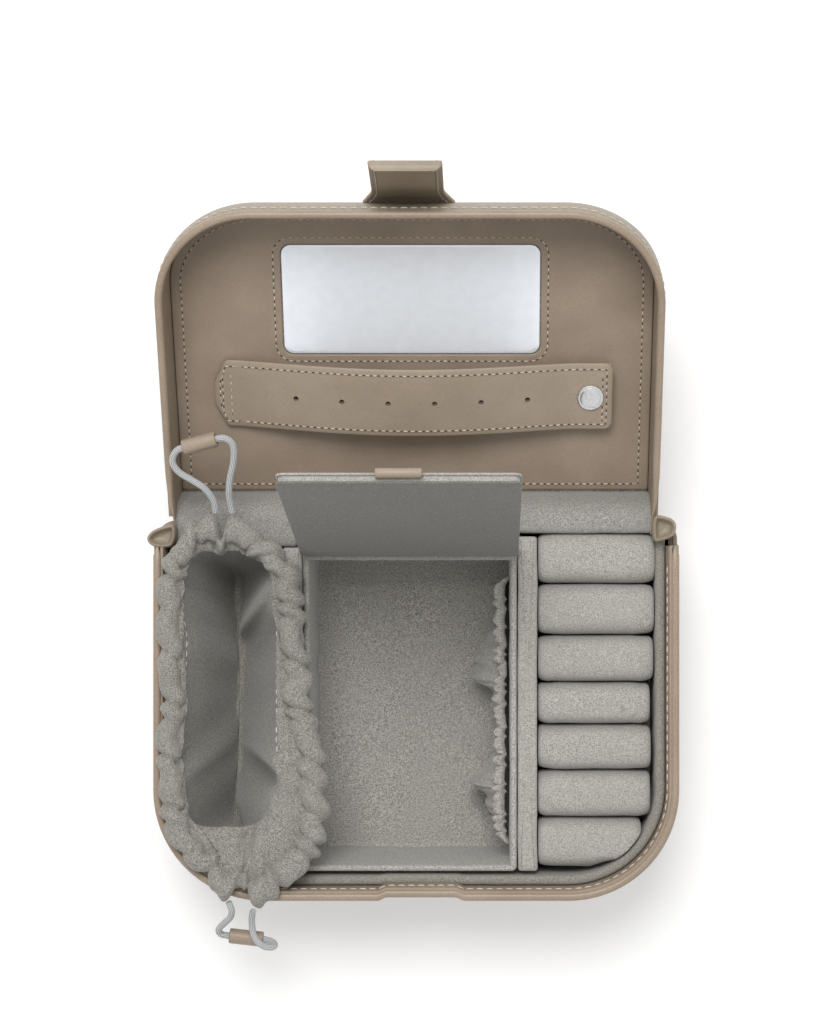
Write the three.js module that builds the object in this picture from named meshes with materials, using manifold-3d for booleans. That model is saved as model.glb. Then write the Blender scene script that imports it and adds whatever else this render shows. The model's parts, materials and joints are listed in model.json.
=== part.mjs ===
// Travel jewelry case with a folding lid, modelled open, in millimetres, with +Z up.
// The origin is the centre of the flat underside. +Y points to the hinge and +X to the right of someone who faces the front.
// The base holds a tray with a drawstring pouch, a lift-out box with a flap, and a bed of finger-ring rolls.
// The lid carries a mirror, an arched earring strap with a snap, and a closing tab with a magnet.

import * as THREE from 'three';
import { mergeVertices } from 'three/addons/utils/BufferGeometryUtils.js';
import Module from 'manifold-3d';

const wasm = await Module();
wasm.setup();

// Base shell
const caseWidth = 166;
const caseDepth = 120;
const rimHeight = 54;
const frontRadius = 35;
const backRadius = 6;
const leather = 1.2;
const board = 1.4;
const layerGap = 0.2;
const bottomBoard = 2;
const rollWidth = 2.4;
const rollHeight = 2.3;
const recessWidth = 27.5;
const recessDepth = 1.1;
const recessEase = 3;
const recessOffset = 1.5;
const lipThickness = 0.85;
const lipDrop = 14;
const lipSlope = 1.6;
const lipSetback = 8;
const backWallDrop = 9;

// Tray
const trayDrop = 6;
const trayWall = 3;
const trayFloor = 1;
const divider = 6.2;
const fitGap = 0.3;

// Lift-out box and its pocket
const boxWidth = 68;
const boxEndsClear = 19;
const boxWall = 2;
const boxFloor = 1.6;
const boxCentreX = -2.2;
const pocketGap = 3.2;
const pocketWall = 1.3;
const pocketHeight = 30;
const pocketEndsClear = 15;
const elasticDiameter = 2.4;

// Finger-ring rolls
const ringRollRise = 1;
const ringRollHeight = 22;
const ringRollGap = 0.4;
const ringRollLengthShares = [0.154, 0.153, 0.14, 0.126, 0.136, 0.141, 0.15];

// Drawstring pouch
const pouchWall = 1.2;
const pouchDrop = 0.6;
const pouchRadius = 9;
const collarGap = 0.6;
const collarRise = 6.5;
const collarEdge = 3.4;
const cordDiameter = 2.1;
const toggleDiameter = 4.8;
const toggleBore = 2.8;
const toggleLength = 10.8;

// Lid, in its own frame: Y runs from the hinge to the free edge, and Z = 0 is the plane of its rim
const hingeSetback = 6;
const hingeDrop = 5;
const lidAngle = 25.5;
const lidSidesClear = 11;
const lidEndsClear = 11.5;
const lidDepth = 25;
const lidDraft = 4.5;
const draftStart = 5;
const lidRadius = 30;
const lidWall = 2;
const lidOffset = -1;
const lidSkin = 0.9;
const lidBoard = 0.8;
const lidLining = 0.4;
const lidBackOverhang = 2.8;
const sideEndAtRim = 7.6;
const sideEndAtTop = 1.5;
const turnedGap = 0.3;
const panelThickness = 0.8;
const panelStart = 7.5;
const panelMargin = 0.7;
const mirrorWidth = 80.3;
const mirrorHeight = 36;
const mirrorFreeMargin = 17.5;
const mirrorCentreX = -0.3;
const mirrorThickness = 0.6;
const mirrorRadius = 3;

// Earring strap on the lid
const strapEndsClear = 29;
const strapWidth = 22.5;
const strapStart = 31;
const strapLeather = 1.3;
const strapBacking = 0.6;
const strapArch = 8.2;
const strapAnchor = 7;
const strapChamfer = 7.5;
const strapSnapFlat = 13;
const strapHole = 1.7;
const strapHolePitch = 14.6;
const strapHoleCount = 6;
const strapHoleOffset = -0.4;
const backingMargin = 0.5;
const snapCapDiameter = 8.5;
const snapCapHeight = 1.3;
const snapStudDiameter = 7;
const snapStudHeight = 1;
const snapSocketHeight = 1;
const snapInset = 7;

// Closing tab
const tabWidth = 22;
const tabLeather = 1.6;
const tabLining = 0.7;
const tabLength = 19;
const tabLean = 37;
const tabReach = 7.2;
const tabRootDepth = 5;
const tabSeam = 4.5;
const tabHingeGap = 0.7;
const tabFlare = 3;
const tabOffset = -0.5;
const tabMagnetDiameter = 9;
const magnetThickness = 0.6;
const frontMagnetDiameter = 11;
const frontMagnetThickness = 0.9;
const frontMagnetDrop = 13;

// Box flap
const flapSideReach = 0.5;
const flapShortfall = 5;
const flapLean = 13.4;
const flapCover = 0.8;
const flapBoard = 1;
const flapRadius = 2;
const flapStart = 0.3;
const pullTabWidth = 13;
const pullTabReach = 6;
const pullTabThickness = 0.8;
const pullTabLoop = 2;
const stripThickness = 0.5;

// Soft hinge: a leather spine outside, a lining inside and a gusset loop at each end
const spineLeather = 0.9;
const spineLining = 0.5;
const gussetThickness = 1.1;
const gussetBulge = 3;

// Facets
const cornerSteps = 8;
const smallSteps = 4;
const roundSides = 20;
const padSegments = 20;
const padRows = 12;
const archSteps = 18;
const cordSides = 8;
const overrun = 2;

const colours = {
  leather: 0x92857a,
  edge: 0xb0a194,
  suede: 0x99958f,
  weave: 0x8e8a84,
  board: 0x8a8074,
  mirror: 0xd8dee4,
  metal: 0xc8c8c8,
  magnet: 0x55585c,
  cord: 0xb9bcbc,
};

const finishes = {
  leather: new THREE.MeshStandardMaterial({ color: colours.leather, roughness: 0.55, metalness: 0 }),
  edge: new THREE.MeshStandardMaterial({ color: colours.edge, roughness: 0.4, metalness: 0 }),
  suede: new THREE.MeshStandardMaterial({ color: colours.suede, roughness: 0.95, metalness: 0 }),
  weave: new THREE.MeshStandardMaterial({ color: colours.weave, roughness: 0.9, metalness: 0 }),
  board: new THREE.MeshStandardMaterial({ color: colours.board, roughness: 0.9, metalness: 0 }),
  mirror: new THREE.MeshStandardMaterial({ color: colours.mirror, roughness: 0.02, metalness: 1 }),
  metal: new THREE.MeshStandardMaterial({ color: colours.metal, roughness: 0.25, metalness: 1 }),
  magnet: new THREE.MeshStandardMaterial({ color: colours.magnet, roughness: 0.4, metalness: 1 }),
  cord: new THREE.MeshStandardMaterial({ color: colours.cord, roughness: 0.8, metalness: 0 }),
};

const group = new THREE.Group();
const halfTurn = Math.PI;
const quarterTurn = Math.PI / 2;
const radians = THREE.MathUtils.degToRad;

// Adds one named piece to a group
function piece(name, geometry, finish, owner = group) {
  const mesh = new THREE.Mesh(geometry, finishes[finish]);
  mesh.name = name;
  owner.add(mesh);
  return mesh;
}

// Joins and cuts
function bare(geometry) {
  const copy = geometry.clone();
  for (const extra of ['normal', 'uv']) if (copy.attributes[extra]) copy.deleteAttribute(extra);
  return mergeVertices(copy);
}

function toSolid(geometry) {
  const merged = bare(geometry);
  return new wasm.Manifold(new wasm.Mesh({
    numProp: 3,
    vertProperties: Float32Array.from(merged.attributes.position.array),
    triVerts: Uint32Array.from(merged.index.array),
  }));
}

function toGeometry(solid) {
  const mesh = solid.getMesh();
  const geometry = new THREE.BufferGeometry();
  geometry.setAttribute('position', new THREE.BufferAttribute(mesh.vertProperties, 3));
  geometry.setIndex(new THREE.BufferAttribute(mesh.triVerts, 1));
  return geometry;
}

function cut(geometry, ...tools) {
  return toGeometry(tools.reduce((solid, tool) => solid.subtract(toSolid(tool)), toSolid(geometry)));
}

function common(geometry, other) {
  return toGeometry(toSolid(geometry).intersect(toSolid(other)));
}

// A closed body from a list of corners and triangles, turned so that its faces point out
function faceted(corners, triangles) {
  const corner = (i) => new THREE.Vector3(...corners[i]);
  const volume = triangles.reduce((sum, [a, b, c]) => sum + corner(a).dot(corner(b).cross(corner(c))), 0);
  const outward = triangles.map(([a, b, c]) => (volume < 0 ? [a, c, b] : [a, b, c]));
  const geometry = new THREE.BufferGeometry();
  geometry.setAttribute('position', new THREE.Float32BufferAttribute(corners.flat(), 3));
  geometry.setIndex(outward.flat());
  return geometry;
}

// Basic solids
function block(x0, x1, y0, y1, z0, z1) {
  return new THREE.BoxGeometry(x1 - x0, y1 - y0, z1 - z0).translate((x0 + x1) / 2, (y0 + y1) / 2, (z0 + z1) / 2);
}

function disc(diameter, height, sides = roundSides) {
  return new THREE.CylinderGeometry(diameter / 2, diameter / 2, height, sides).rotateX(quarterTurn);
}

function plate(shape, z0, z1) {
  return new THREE.ExtrudeGeometry(shape, { depth: z1 - z0, bevelEnabled: false }).translate(0, 0, z0);
}

// An outline in Y and Z, drawn out along X
function alongX(points, x0, x1) {
  const shape = new THREE.Shape(points.map(([y, z]) => new THREE.Vector2(y, z)));
  const geometry = new THREE.ExtrudeGeometry(shape, { depth: x1 - x0, bevelEnabled: false });
  const turn = new THREE.Matrix4().makeBasis(
    new THREE.Vector3(0, 1, 0), new THREE.Vector3(0, 0, 1), new THREE.Vector3(1, 0, 0),
  );
  return geometry.applyMatrix4(turn).translate(x0, 0, 0);
}

// An outline in X and Z, drawn out along Y
function alongY(points, y0, y1) {
  const shape = new THREE.Shape(points.map(([x, z]) => new THREE.Vector2(x, z)));
  return new THREE.ExtrudeGeometry(shape, { depth: y1 - y0, bevelEnabled: false })
    .rotateX(quarterTurn).translate(0, y1, 0);
}

// Points of an arc in plan
function arc(x, y, radius, from, to, steps) {
  return Array.from({ length: steps + 1 }, (_, i) => {
    const angle = from + (to - from) * i / steps;
    return { x: x + radius * Math.cos(angle), y: y + radius * Math.sin(angle), nx: -Math.cos(angle), ny: -Math.sin(angle) };
  });
}

// A rectangle with rounded corners
function roundedRectangle(x0, x1, y0, y1, radius, steps = smallSteps) {
  const corners = [
    [x1 - radius, y1 - radius, 0], [x0 + radius, y1 - radius, quarterTurn],
    [x0 + radius, y0 + radius, halfTurn], [x1 - radius, y0 + radius, halfTurn + quarterTurn],
  ];
  return new THREE.Shape(corners.flatMap(([x, y, from]) => arc(x, y, radius, from, from + quarterTurn, steps))
    .map((p) => new THREE.Vector2(p.x, p.y)));
}

// How far the front of the case steps in for the tab at a place across it
function recessAt(x) {
  const share = THREE.MathUtils.clamp((recessWidth / 2 - Math.abs(x - recessOffset)) / recessEase, 0, 1);
  return recessDepth * share * share * (3 - 2 * share);
}

// The outer outline of the case in plan, with inward directions: down the left side, along the front and up the right side
function casePath(fromY) {
  const x = caseWidth / 2;
  const y = caseDepth / 2;
  const left = arc(-x + frontRadius, -y + frontRadius, frontRadius, halfTurn, halfTurn + quarterTurn, cornerSteps);
  const right = arc(x - frontRadius, -y + frontRadius, frontRadius, -quarterTurn, 0, cornerSteps);
  const half = recessWidth / 2;
  const front = [-half, -half + recessEase / 2, -half + recessEase, half - recessEase, half - recessEase / 2, half]
    .map((offset) => recessOffset + offset)
    .map((at) => ({ x: at, y: -y + recessAt(at), nx: 0, ny: 1 }));
  return [{ x: -x, y: fromY, nx: 1, ny: 0 }, ...left, ...front, ...right, { x, y: fromY, nx: -1, ny: 0 }];
}

function caseOutline(inset) {
  const radius = Math.max(backRadius - inset, leather);
  const x = caseWidth / 2 - inset - radius;
  const y = caseDepth / 2 - inset - radius;
  const back = [
    ...arc(x, y, radius, 0, quarterTurn, smallSteps),
    ...arc(-x, y, radius, quarterTurn, halfTurn, smallSteps),
  ];
  const sides = casePath(0).slice(1, -1).map((p) => ({ x: p.x + p.nx * inset, y: p.y + p.ny * inset }));
  return new THREE.Shape([...sides, ...back].map((p) => new THREE.Vector2(p.x, p.y)));
}

// The space inside the tray in plan: it follows the case at the front and sides and ends straight at the back
function trayOutline(inset, backY) {
  const sides = casePath(0).slice(1, -1).map((p) => new THREE.Vector2(p.x + p.nx * inset, p.y + p.ny * inset));
  const x = caseWidth / 2 - inset;
  return new THREE.Shape([...sides, new THREE.Vector2(x, backY), new THREE.Vector2(-x, backY)]);
}

// A section of (inset, height) points carried along a path in plan, with closed ends.
// endAt gives the place of both ends for a height, where they slant.
function wallAlong(path, section, endAt = null, draftAt = () => 0) {
  const corners = path.flatMap((p, i) => {
    const slants = endAt && (i === 0 || i === path.length - 1);
    const back = (z) => Math.min(p.ny, 0) * draftAt(z);
    return section.map(([inset, z]) => [p.x + p.nx * inset, slants ? endAt(z) : p.y + p.ny * inset + back(z), z]);
  });
  const n = section.length;
  const triangles = [];
  for (let i = 0; i < path.length - 1; i += 1) {
    for (let j = 0; j < n; j += 1) {
      const a = i * n + j;
      const b = i * n + (j + 1) % n;
      triangles.push([a, a + n, b], [b, a + n, b + n]);
    }
  }
  const last = (path.length - 1) * n;
  THREE.ShapeUtils.triangulateShape(section.map(([u, v]) => new THREE.Vector2(u, v)), [])
    .forEach(([a, b, c]) => triangles.push([a, b, c], [last + c, last + b, last + a]));
  return faceted(corners, triangles);
}

// A tube of round section along a list of points
function tube(points, diameter, steps) {
  const curve = new THREE.CatmullRomCurve3(points.map((p) => new THREE.Vector3(...p)), false, 'centripetal');
  const shape = new THREE.Shape(Array.from({ length: cordSides }, (_, i) => {
    const angle = (i / cordSides) * 2 * halfTurn;
    return new THREE.Vector2(Math.cos(angle) * diameter / 2, Math.sin(angle) * diameter / 2);
  }));
  return new THREE.ExtrudeGeometry(shape, { steps, bevelEnabled: false, extrudePath: curve });
}

// Base shell, board and rim
const baseFloor = leather + bottomBoard;
const wallInset = leather + layerGap;
const boardInner = wallInset + board;
const lipInset = boardInner + layerGap;
const wallTop = rimHeight - rollHeight;
const caseBack = caseDepth / 2;
const backWallHeight = rimHeight - backWallDrop;
const trayTop = rimHeight - trayDrop;
const frontMagnetZ = rimHeight - frontMagnetDrop;
const lipEndY = caseBack - lipSetback;

function ring(outerInset, innerInset, z0, z1) {
  const shape = caseOutline(outerInset);
  shape.holes.push(new THREE.Path(caseOutline(innerInset).getPoints().reverse()));
  const lowered = block(-caseWidth, caseWidth, lipEndY + layerGap, caseDepth, backWallHeight, rimHeight + overrun);
  return cut(plate(shape, z0, z1), lowered);
}

function frontMagnetAt(inset, thickness, diameter) {
  return new THREE.CylinderGeometry(diameter / 2, diameter / 2, thickness, roundSides)
    .translate(recessOffset, -caseDepth / 2 + recessDepth + inset + thickness / 2, frontMagnetZ);
}

piece('bottom_leather_panel', plate(caseOutline(0), 0, leather), 'leather');
piece('base_leather_wall', ring(0, leather, leather, wallTop), 'leather');
piece('bottom_board', plate(caseOutline(wallInset), leather, baseFloor), 'board');
piece('wall_board', cut(
  ring(wallInset, boardInner, baseFloor, wallTop),
  frontMagnetAt(leather, board, frontMagnetDiameter + 2 * fitGap),
), 'board');
piece('front_magnet', frontMagnetAt(wallInset + layerGap, frontMagnetThickness, frontMagnetDiameter), 'magnet');

const rimBottom = wallTop + layerGap / 2;
piece('base_rim_roll', wallAlong(casePath(lipEndY), [
  [0, rimBottom], [rollWidth, rimBottom], [rollWidth, rimHeight - rollHeight / 3],
  [rollWidth * 0.72, rimHeight - rollHeight / 12], [rollWidth / 2, rimHeight],
  [rollWidth * 0.28, rimHeight - rollHeight / 12], [0, rimHeight - rollHeight / 3],
]), 'edge');
const lipTop = rimHeight - rollHeight / 3;
piece('base_lip_facing', wallAlong(casePath(lipEndY), [
  [lipInset, rimHeight - lipDrop], [lipInset + lipThickness, rimHeight - lipDrop], [lipInset + lipThickness, trayTop],
  [lipInset, lipTop - lipSlope / 2], [rollWidth + layerGap, lipTop],
  [rollWidth + layerGap, rimBottom], [lipInset, rimBottom],
]), 'leather');

// Tray walls, floor and dividers
const trayInset = lipInset + lipThickness + layerGap;
const trayInner = trayInset + trayWall;
const trayFloorTop = baseFloor + trayFloor;
const innerLeft = -caseWidth / 2 + trayInner;
const innerRight = caseWidth / 2 - trayInner;
const innerFront = -caseDepth / 2 + trayInner + recessDepth;
const innerBack = caseBack - boardInner - spineLining - 2 * layerGap;
piece('tray_floor', plate(caseOutline(boardInner + spineLining + 2 * layerGap), baseFloor, trayFloorTop), 'suede');
piece('tray_wall', wallAlong(casePath(lipEndY), [
  [trayInset, trayFloorTop], [trayInner, trayFloorTop], [trayInner, trayTop - leather / 2], [trayInner - leather / 2, trayTop],
  [trayInset + leather / 2, trayTop], [trayInset, trayTop - leather / 2],
]), 'suede');

const boxLeft = boxCentreX - boxWidth / 2;
const boxRight = boxCentreX + boxWidth / 2;
const boxLength = caseDepth - boxEndsClear;
const boxFront = innerFront + fitGap;
const boxBack = boxFront + boxLength;
function dividerBlock(x0) {
  return block(x0, x0 + divider, innerFront + fitGap, lipEndY, trayFloorTop, trayTop);
}
const leftDividerX = boxLeft - fitGap - divider;
const rightDividerX = boxRight + fitGap;
piece('left_divider', dividerBlock(leftDividerX), 'suede');
piece('right_divider', dividerBlock(rightDividerX), 'suede');

// Lift-out box, its side pocket and the pocket's elastic
piece('middle_box', cut(
  block(boxLeft, boxRight, boxFront, boxBack, trayFloorTop, trayTop),
  block(
    boxLeft + boxWall, boxRight - boxWall, boxFront + boxWall, boxBack - boxWall,
    trayFloorTop + boxFloor, trayTop + overrun,
  ),
), 'weave');
const pocketFloor = trayFloorTop + boxFloor;
const pocketLength = boxLength - pocketEndsClear;
const pocketX = boxRight - boxWall - pocketGap - pocketWall;
const pocketCentreY = (boxFront + boxBack) / 2;
const pocketOuter = roundedRectangle(
  pocketX, boxRight - boxWall - layerGap, pocketCentreY - pocketLength / 2, pocketCentreY + pocketLength / 2, pocketWall,
);
const pocketInner = block(
  pocketX + pocketWall, boxRight + overrun, pocketCentreY - pocketLength / 2 + pocketWall,
  pocketCentreY + pocketLength / 2 - pocketWall, pocketFloor + pocketWall, pocketFloor + pocketHeight + overrun,
);
piece('side_pocket', cut(plate(pocketOuter, pocketFloor, pocketFloor + pocketHeight), pocketInner), 'weave');
piece('side_pocket_elastic', disc(elasticDiameter, pocketLength).rotateX(quarterTurn)
  .translate(pocketX + pocketWall / 2, pocketCentreY, pocketFloor + pocketHeight + elasticDiameter / 2), 'suede');

// Finger-ring rolls on their bed: crowned pads with drawn-in sides, pressed side by side
const rollBedTop = trayTop + ringRollRise - ringRollHeight;
const rollLeft = rightDividerX + divider + fitGap;
const rollRight = innerRight - fitGap;
const rollFront = innerFront + 3 * fitGap;
const rollSpace = innerBack - rollFront;
const rollClear = plate(trayOutline(trayInner + fitGap, caseBack), 0, rimHeight);

function crownedPad(width, length, height) {
  const geometry = bare(new THREE.SphereGeometry(1, padSegments, padRows));
  const at = geometry.attributes.position;
  const fuller = (value, power) => Math.sign(value) * Math.abs(value) ** power;
  const [acrossShare, alongShare, upShare] = [0.28, 0.36, 0.6];
  const drawnShare = 0.03;
  const flatShare = 0.2;
  for (let i = 0; i < at.count; i += 1) {
    const x = fuller(at.getX(i), acrossShare);
    const y = fuller(at.getY(i), alongShare);
    const z = Math.max(fuller(at.getZ(i), upShare), flatShare - 1);
    const drawn = 1 - drawnShare * (1 - x * x);
    at.setXYZ(i, x * width / 2, y * drawn * length / 2, (z + 1 - flatShare) * height / (2 - flatShare));
  }
  return geometry;
}

const rollBed = block(rollLeft, rollRight, rollFront, innerBack, trayFloorTop, rollBedTop);
piece('roll_bed_board', common(rollBed, rollClear), 'board');
let rollBack = innerBack;
ringRollLengthShares.forEach((share, i) => {
  const length = rollSpace * share;
  const pad = crownedPad(rollRight - rollLeft, length - ringRollGap, ringRollHeight)
    .translate((rollLeft + rollRight) / 2, rollBack - length / 2, rollBedTop);
  piece(`ring_roll_${i + 1}`, common(pad, rollClear), 'suede');
  rollBack -= length;
});

// Drawstring pouch: a bag in the left compartment and a gathered collar round its mouth
const pouchTop = rimHeight - pouchDrop;
const pouchX0 = innerLeft + fitGap;
const pouchX1 = leftDividerX - fitGap;
const pouchY0 = innerFront + fitGap;
const pouchY1 = lipEndY - fitGap;
const pouchClear = plate(trayOutline(trayInner + fitGap, caseBack), 0, rimHeight + overrun);
function pouchShape(inset) {
  return roundedRectangle(pouchX0 + inset, pouchX1 - inset, pouchY0 + inset, pouchY1 - inset, pouchRadius - inset);
}
const pouchBottom = trayFloorTop + fitGap;
const bagOuter = common(plate(pouchShape(0), pouchBottom, pouchTop), pouchClear);
const bagInner = common(
  plate(pouchShape(pouchWall), pouchBottom + pouchWall, pouchTop + overrun),
  plate(trayOutline(trayInner + fitGap + pouchWall, caseBack), 0, rimHeight + 2 * overrun),
);
piece('pouch_bag', cut(bagOuter, bagInner), 'suede');

// The collar's outer edge, as shares of the pouch's half width and half length from its centre
const collarShares = [
  [-0.29, 1.2], [-0.15, 1.2], [-0.06, 1.12], [0.03, 1.2], [0.17, 1.2], [0.57, 1.11], [1.05, 1.0], [1.28, 0.95], [1.44, 0.84], [1.58, 0.49],
  [1.66, 0.26], [1.68, 0.05], [1.88, -0.19], [1.94, -0.43], [1.98, -0.59], [1.86, -0.82], [1.56, -0.98], [1.16, -1.075],
  [0.64, -1.2], [0.26, -1.11], [-0.09, -1.155], [-0.45, -1.0], [-1.0, -0.87], [-1.27, -0.66], [-1.35, -0.35],
  [-1.37, -0.16], [-1.25, 0.04], [-1.33, 0.26], [-1.35, 0.49], [-1.38, 0.65], [-1.24, 0.93], [-1.04, 1.02], [-0.73, 1.15],
];
const mouthShare = 0.9;
const tipShare = 1.2;
const collarX = (pouchX0 + pouchX1) / 2;
const collarY = (pouchY0 + pouchY1) / 2;
const collarHalfX = (pouchX1 - pouchX0) / 2;
const collarHalfY = (pouchY1 - pouchY0) / 2;
const collarLow = rimHeight + collarGap;
function collar() {
  const outer = collarShares.map(([u, v]) => [collarX + u * collarHalfX, collarY + v * collarHalfY]);
  const inner = collarShares.map(([u, v]) => {
    const reach = (Math.abs(u) ** 4 + Math.abs(v) ** 4) ** 0.25 / mouthShare;
    return [collarX + (u / reach) * collarHalfX, collarY + (v / reach) * collarHalfY];
  });
  const level = [[0, 0], [1, 0], [1, collarEdge], [0.55, collarRise], [0, collarEdge]];
  const corners = outer.flatMap(([x, y], i) => level.map(([t, z]) => [
    inner[i][0] + (x - inner[i][0]) * t, inner[i][1] + (y - inner[i][1]) * t, collarLow + z,
  ]));
  const n = level.length;
  const triangles = outer.flatMap((_, i) => level.flatMap((__, j) => {
    const a = i * n + j;
    const b = i * n + (j + 1) % n;
    const next = ((i + 1) % outer.length - i) * n;
    return [[a, b, a + next], [b, b + next, a + next]];
  }));
  return faceted(corners, triangles);
}
piece('pouch_collar', collar(), 'suede');

// Drawcords: each leaves the collar, runs through its toggle and goes back in
// Their points are measured from the collar's tips
function cordFrom(side, points) {
  return points.map(([x, y, z]) => [collarX + x, collarY + side * tipShare * collarHalfY + y, collarLow + z]);
}
const backCordRoute = cordFrom(1, [
  [-3.575, 0.825, 2.8], [-3.975, 4.375, 5.3], [-6.475, 8.175, 8.4], [-10.475, 10.875, 9.8], [-13.675, 12.875, 10.8],
  [-15.475, 15.175, 11.9], [-15.675, 17.375, 12.9], [-14.575, 19.375, 13.9], [-12.675, 20.475, 14.5], [-7.075, 21.975, 15.2],
  [-1.475, 23.375, 15.8], [0.925, 23.375, 15.8], [2.725, 22.175, 15.2], [3.425, 19.975, 14.2], [3.025, 15.975, 12.2],
  [1.825, 11.575, 10], [1.125, 6.975, 7.3], [1.225, 3.975, 5], [1.625, 0.825, 2.8],
]);
const frontCordRoute = cordFrom(-1, [
  [0.525, 2.175, 2.8], [1.425, -0.625, 2], [0.725, -3.125, 0], [-1.275, -5.225, -2], [-2.875, -6.925, -3.8],
  [-3.475, -8.325, -5.2], [-2.875, -9.425, -6], [-1.075, -9.925, -6.3], [5.125, -10.625, -6.4], [11.325, -11.325, -6.4],
  [13.525, -12.025, -6], [14.325, -12.725, -4.8], [13.525, -13.125, -3.4], [11.325, -12.725, -2.4], [9.125, -11.125, -2.1],
  [7.925, -8.925, -2], [7.525, -6.525, -1.5], [7.525, -3.725, 0], [7.925, -1.525, 1.8], [8.325, -0.725, 2.7],
]);
const cordSteps = 30;
const pullPieces = [['back', backCordRoute, 9], ['front', frontCordRoute, 8]];
pullPieces.forEach(([name, route, middle]) => {
  piece(`${name}_drawcord`, tube(route, cordDiameter, cordSteps), 'cord');
  const from = new THREE.Vector3(...route[middle - 1]);
  const to = new THREE.Vector3(...route[middle + 1]);
  const shape = new THREE.Shape(arc(0, 0, toggleDiameter / 2, 0, 2 * halfTurn, roundSides).slice(1)
    .map((p) => new THREE.Vector2(p.x, p.y)));
  shape.holes.push(new THREE.Path(arc(0, 0, toggleBore / 2, 0, -2 * halfTurn, roundSides).slice(1)
    .map((p) => new THREE.Vector2(p.x, p.y))));
  const toggle = piece(`${name}_toggle`, plate(shape, -toggleLength / 2, toggleLength / 2), 'leather');
  toggle.position.set(...route[middle]);
  toggle.quaternion.setFromUnitVectors(new THREE.Vector3(0, 0, 1), to.sub(from).normalize());
});

// Lid, built flat with its hollow up and then leaned back
const lidWidth = caseWidth - lidSidesClear;
const lidLength = caseDepth - lidEndsClear;
const hingeY = caseBack - hingeSetback;
const hingeZ = rimHeight - hingeDrop;
const lid = new THREE.Group();
lid.position.set(lidOffset, hingeY, hingeZ);
lid.rotation.x = radians(lidAngle);
group.add(lid);

function lidPath() {
  const x = lidWidth / 2;
  return [
    { x, y: sideEndAtRim, nx: -1, ny: 0 },
    ...arc(x - lidRadius, lidLength - lidRadius, lidRadius, 0, quarterTurn, cornerSteps),
    ...arc(-x + lidRadius, lidLength - lidRadius, lidRadius, quarterTurn, halfTurn, cornerSteps),
    { x: -x, y: sideEndAtRim, nx: 1, ny: 0 },
  ];
}

// The free wall leans in, so that the lid's top is shorter than its rim
const wallSlope = lidDraft / (lidDepth - draftStart);
const draftAt = (z) => Math.max(-z - draftStart, 0) * wallSlope;

function lidOutline(inset, start, z) {
  const back = (p) => Math.min(p.ny, 0) * draftAt(z);
  const sides = lidPath().slice(1, -1).map((p) => new THREE.Vector2(p.x + p.nx * inset, p.y + p.ny * inset + back(p)));
  const x = lidWidth / 2 - inset;
  return new THREE.Shape([new THREE.Vector2(x, start), ...sides, new THREE.Vector2(-x, start)]);
}

const skinBottom = -lidDepth;
const boardBottom = skinBottom + lidSkin + turnedGap;
const liningBottom = boardBottom + lidBoard + turnedGap;
const panelBottom = liningBottom + lidLining + turnedGap;
const panelTop = panelBottom + panelThickness;
const lidWallBottom = skinBottom + lidSkin + turnedGap;
const lidRimBottom = -rollHeight;
const sideEnd = (z) => sideEndAtTop + (sideEndAtRim - sideEndAtTop) * (1 + z / lidDepth);

piece('lid_top_leather', plate(lidOutline(0, -lidBackOverhang, skinBottom), skinBottom, skinBottom + lidSkin), 'leather', lid);
piece('lid_leather_wall', wallAlong(lidPath(), [
  [0, lidWallBottom], [lidWall, lidWallBottom], [lidWall, -draftStart], [lidWall, lidRimBottom - turnedGap],
  [0, lidRimBottom - turnedGap], [0, -draftStart],
], sideEnd, draftAt), 'leather', lid);
piece('lid_rim_roll', wallAlong(lidPath(), [
  [0, lidRimBottom], [lidWall, lidRimBottom], [lidWall, -rollHeight / 3], [lidWall * 0.72, -rollHeight / 12], [lidWall / 2, 0],
  [lidWall * 0.28, -rollHeight / 12], [0, -rollHeight / 3],
], sideEnd, draftAt), 'edge', lid);
const boardShape = lidOutline(lidWall + turnedGap, 0, boardBottom);
piece('lid_board', plate(boardShape, boardBottom, boardBottom + lidBoard), 'board', lid);
const liningShape = lidOutline(lidWall + turnedGap, 0, liningBottom);
piece('lid_lining', plate(liningShape, liningBottom, liningBottom + lidLining), 'weave', lid);

// Leather panel with the mirror's window
const mirrorStart = lidLength - mirrorHeight - mirrorFreeMargin;
function mirrorShape(margin) {
  return roundedRectangle(
    mirrorCentreX - mirrorWidth / 2 - margin, mirrorCentreX + mirrorWidth / 2 + margin,
    mirrorStart - margin, mirrorStart + mirrorHeight + margin, mirrorRadius + margin,
  );
}
const panelShape = lidOutline(lidWall + turnedGap + panelMargin, panelStart, panelBottom);
panelShape.holes.push(new THREE.Path(mirrorShape(turnedGap).getPoints().reverse()));
piece('lid_inner_panel', plate(panelShape, panelBottom, panelTop), 'leather', lid);
piece('mirror_glass', plate(mirrorShape(0), panelBottom, panelBottom + mirrorThickness), 'mirror', lid);

// Earring strap: sewn down at the left, arched over the panel and snapped at the right
const strapLength = lidWidth - strapEndsClear;
const strapX0 = -strapLength / 2;
const strapX1 = strapLength / 2;
const strapSeam = strapX0 + strapAnchor;
const strapLow = panelTop + turnedGap;
const stackHeight = snapStudHeight + snapSocketHeight + 2 * turnedGap;
function strapLevel(x) {
  const flatFrom = strapX1 - strapSnapFlat;
  const t = THREE.MathUtils.clamp((x - strapSeam) / (flatFrom - strapSeam), 0, 1);
  const dome = Math.sin(t * halfTurn);
  return strapLow + strapBacking + turnedGap + stackHeight * t + (strapArch - stackHeight / 2) * dome;
}
function strapProfile(x0, x1, low, high, steps) {
  const xs = Array.from({ length: steps + 1 }, (_, i) => x0 + (x1 - x0) * i / steps);
  return [...xs.map((x) => [x, strapLevel(x) + low]), ...xs.reverse().map((x) => [x, strapLevel(x) + high])];
}
const strapEnd = strapStart + strapWidth;
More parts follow.
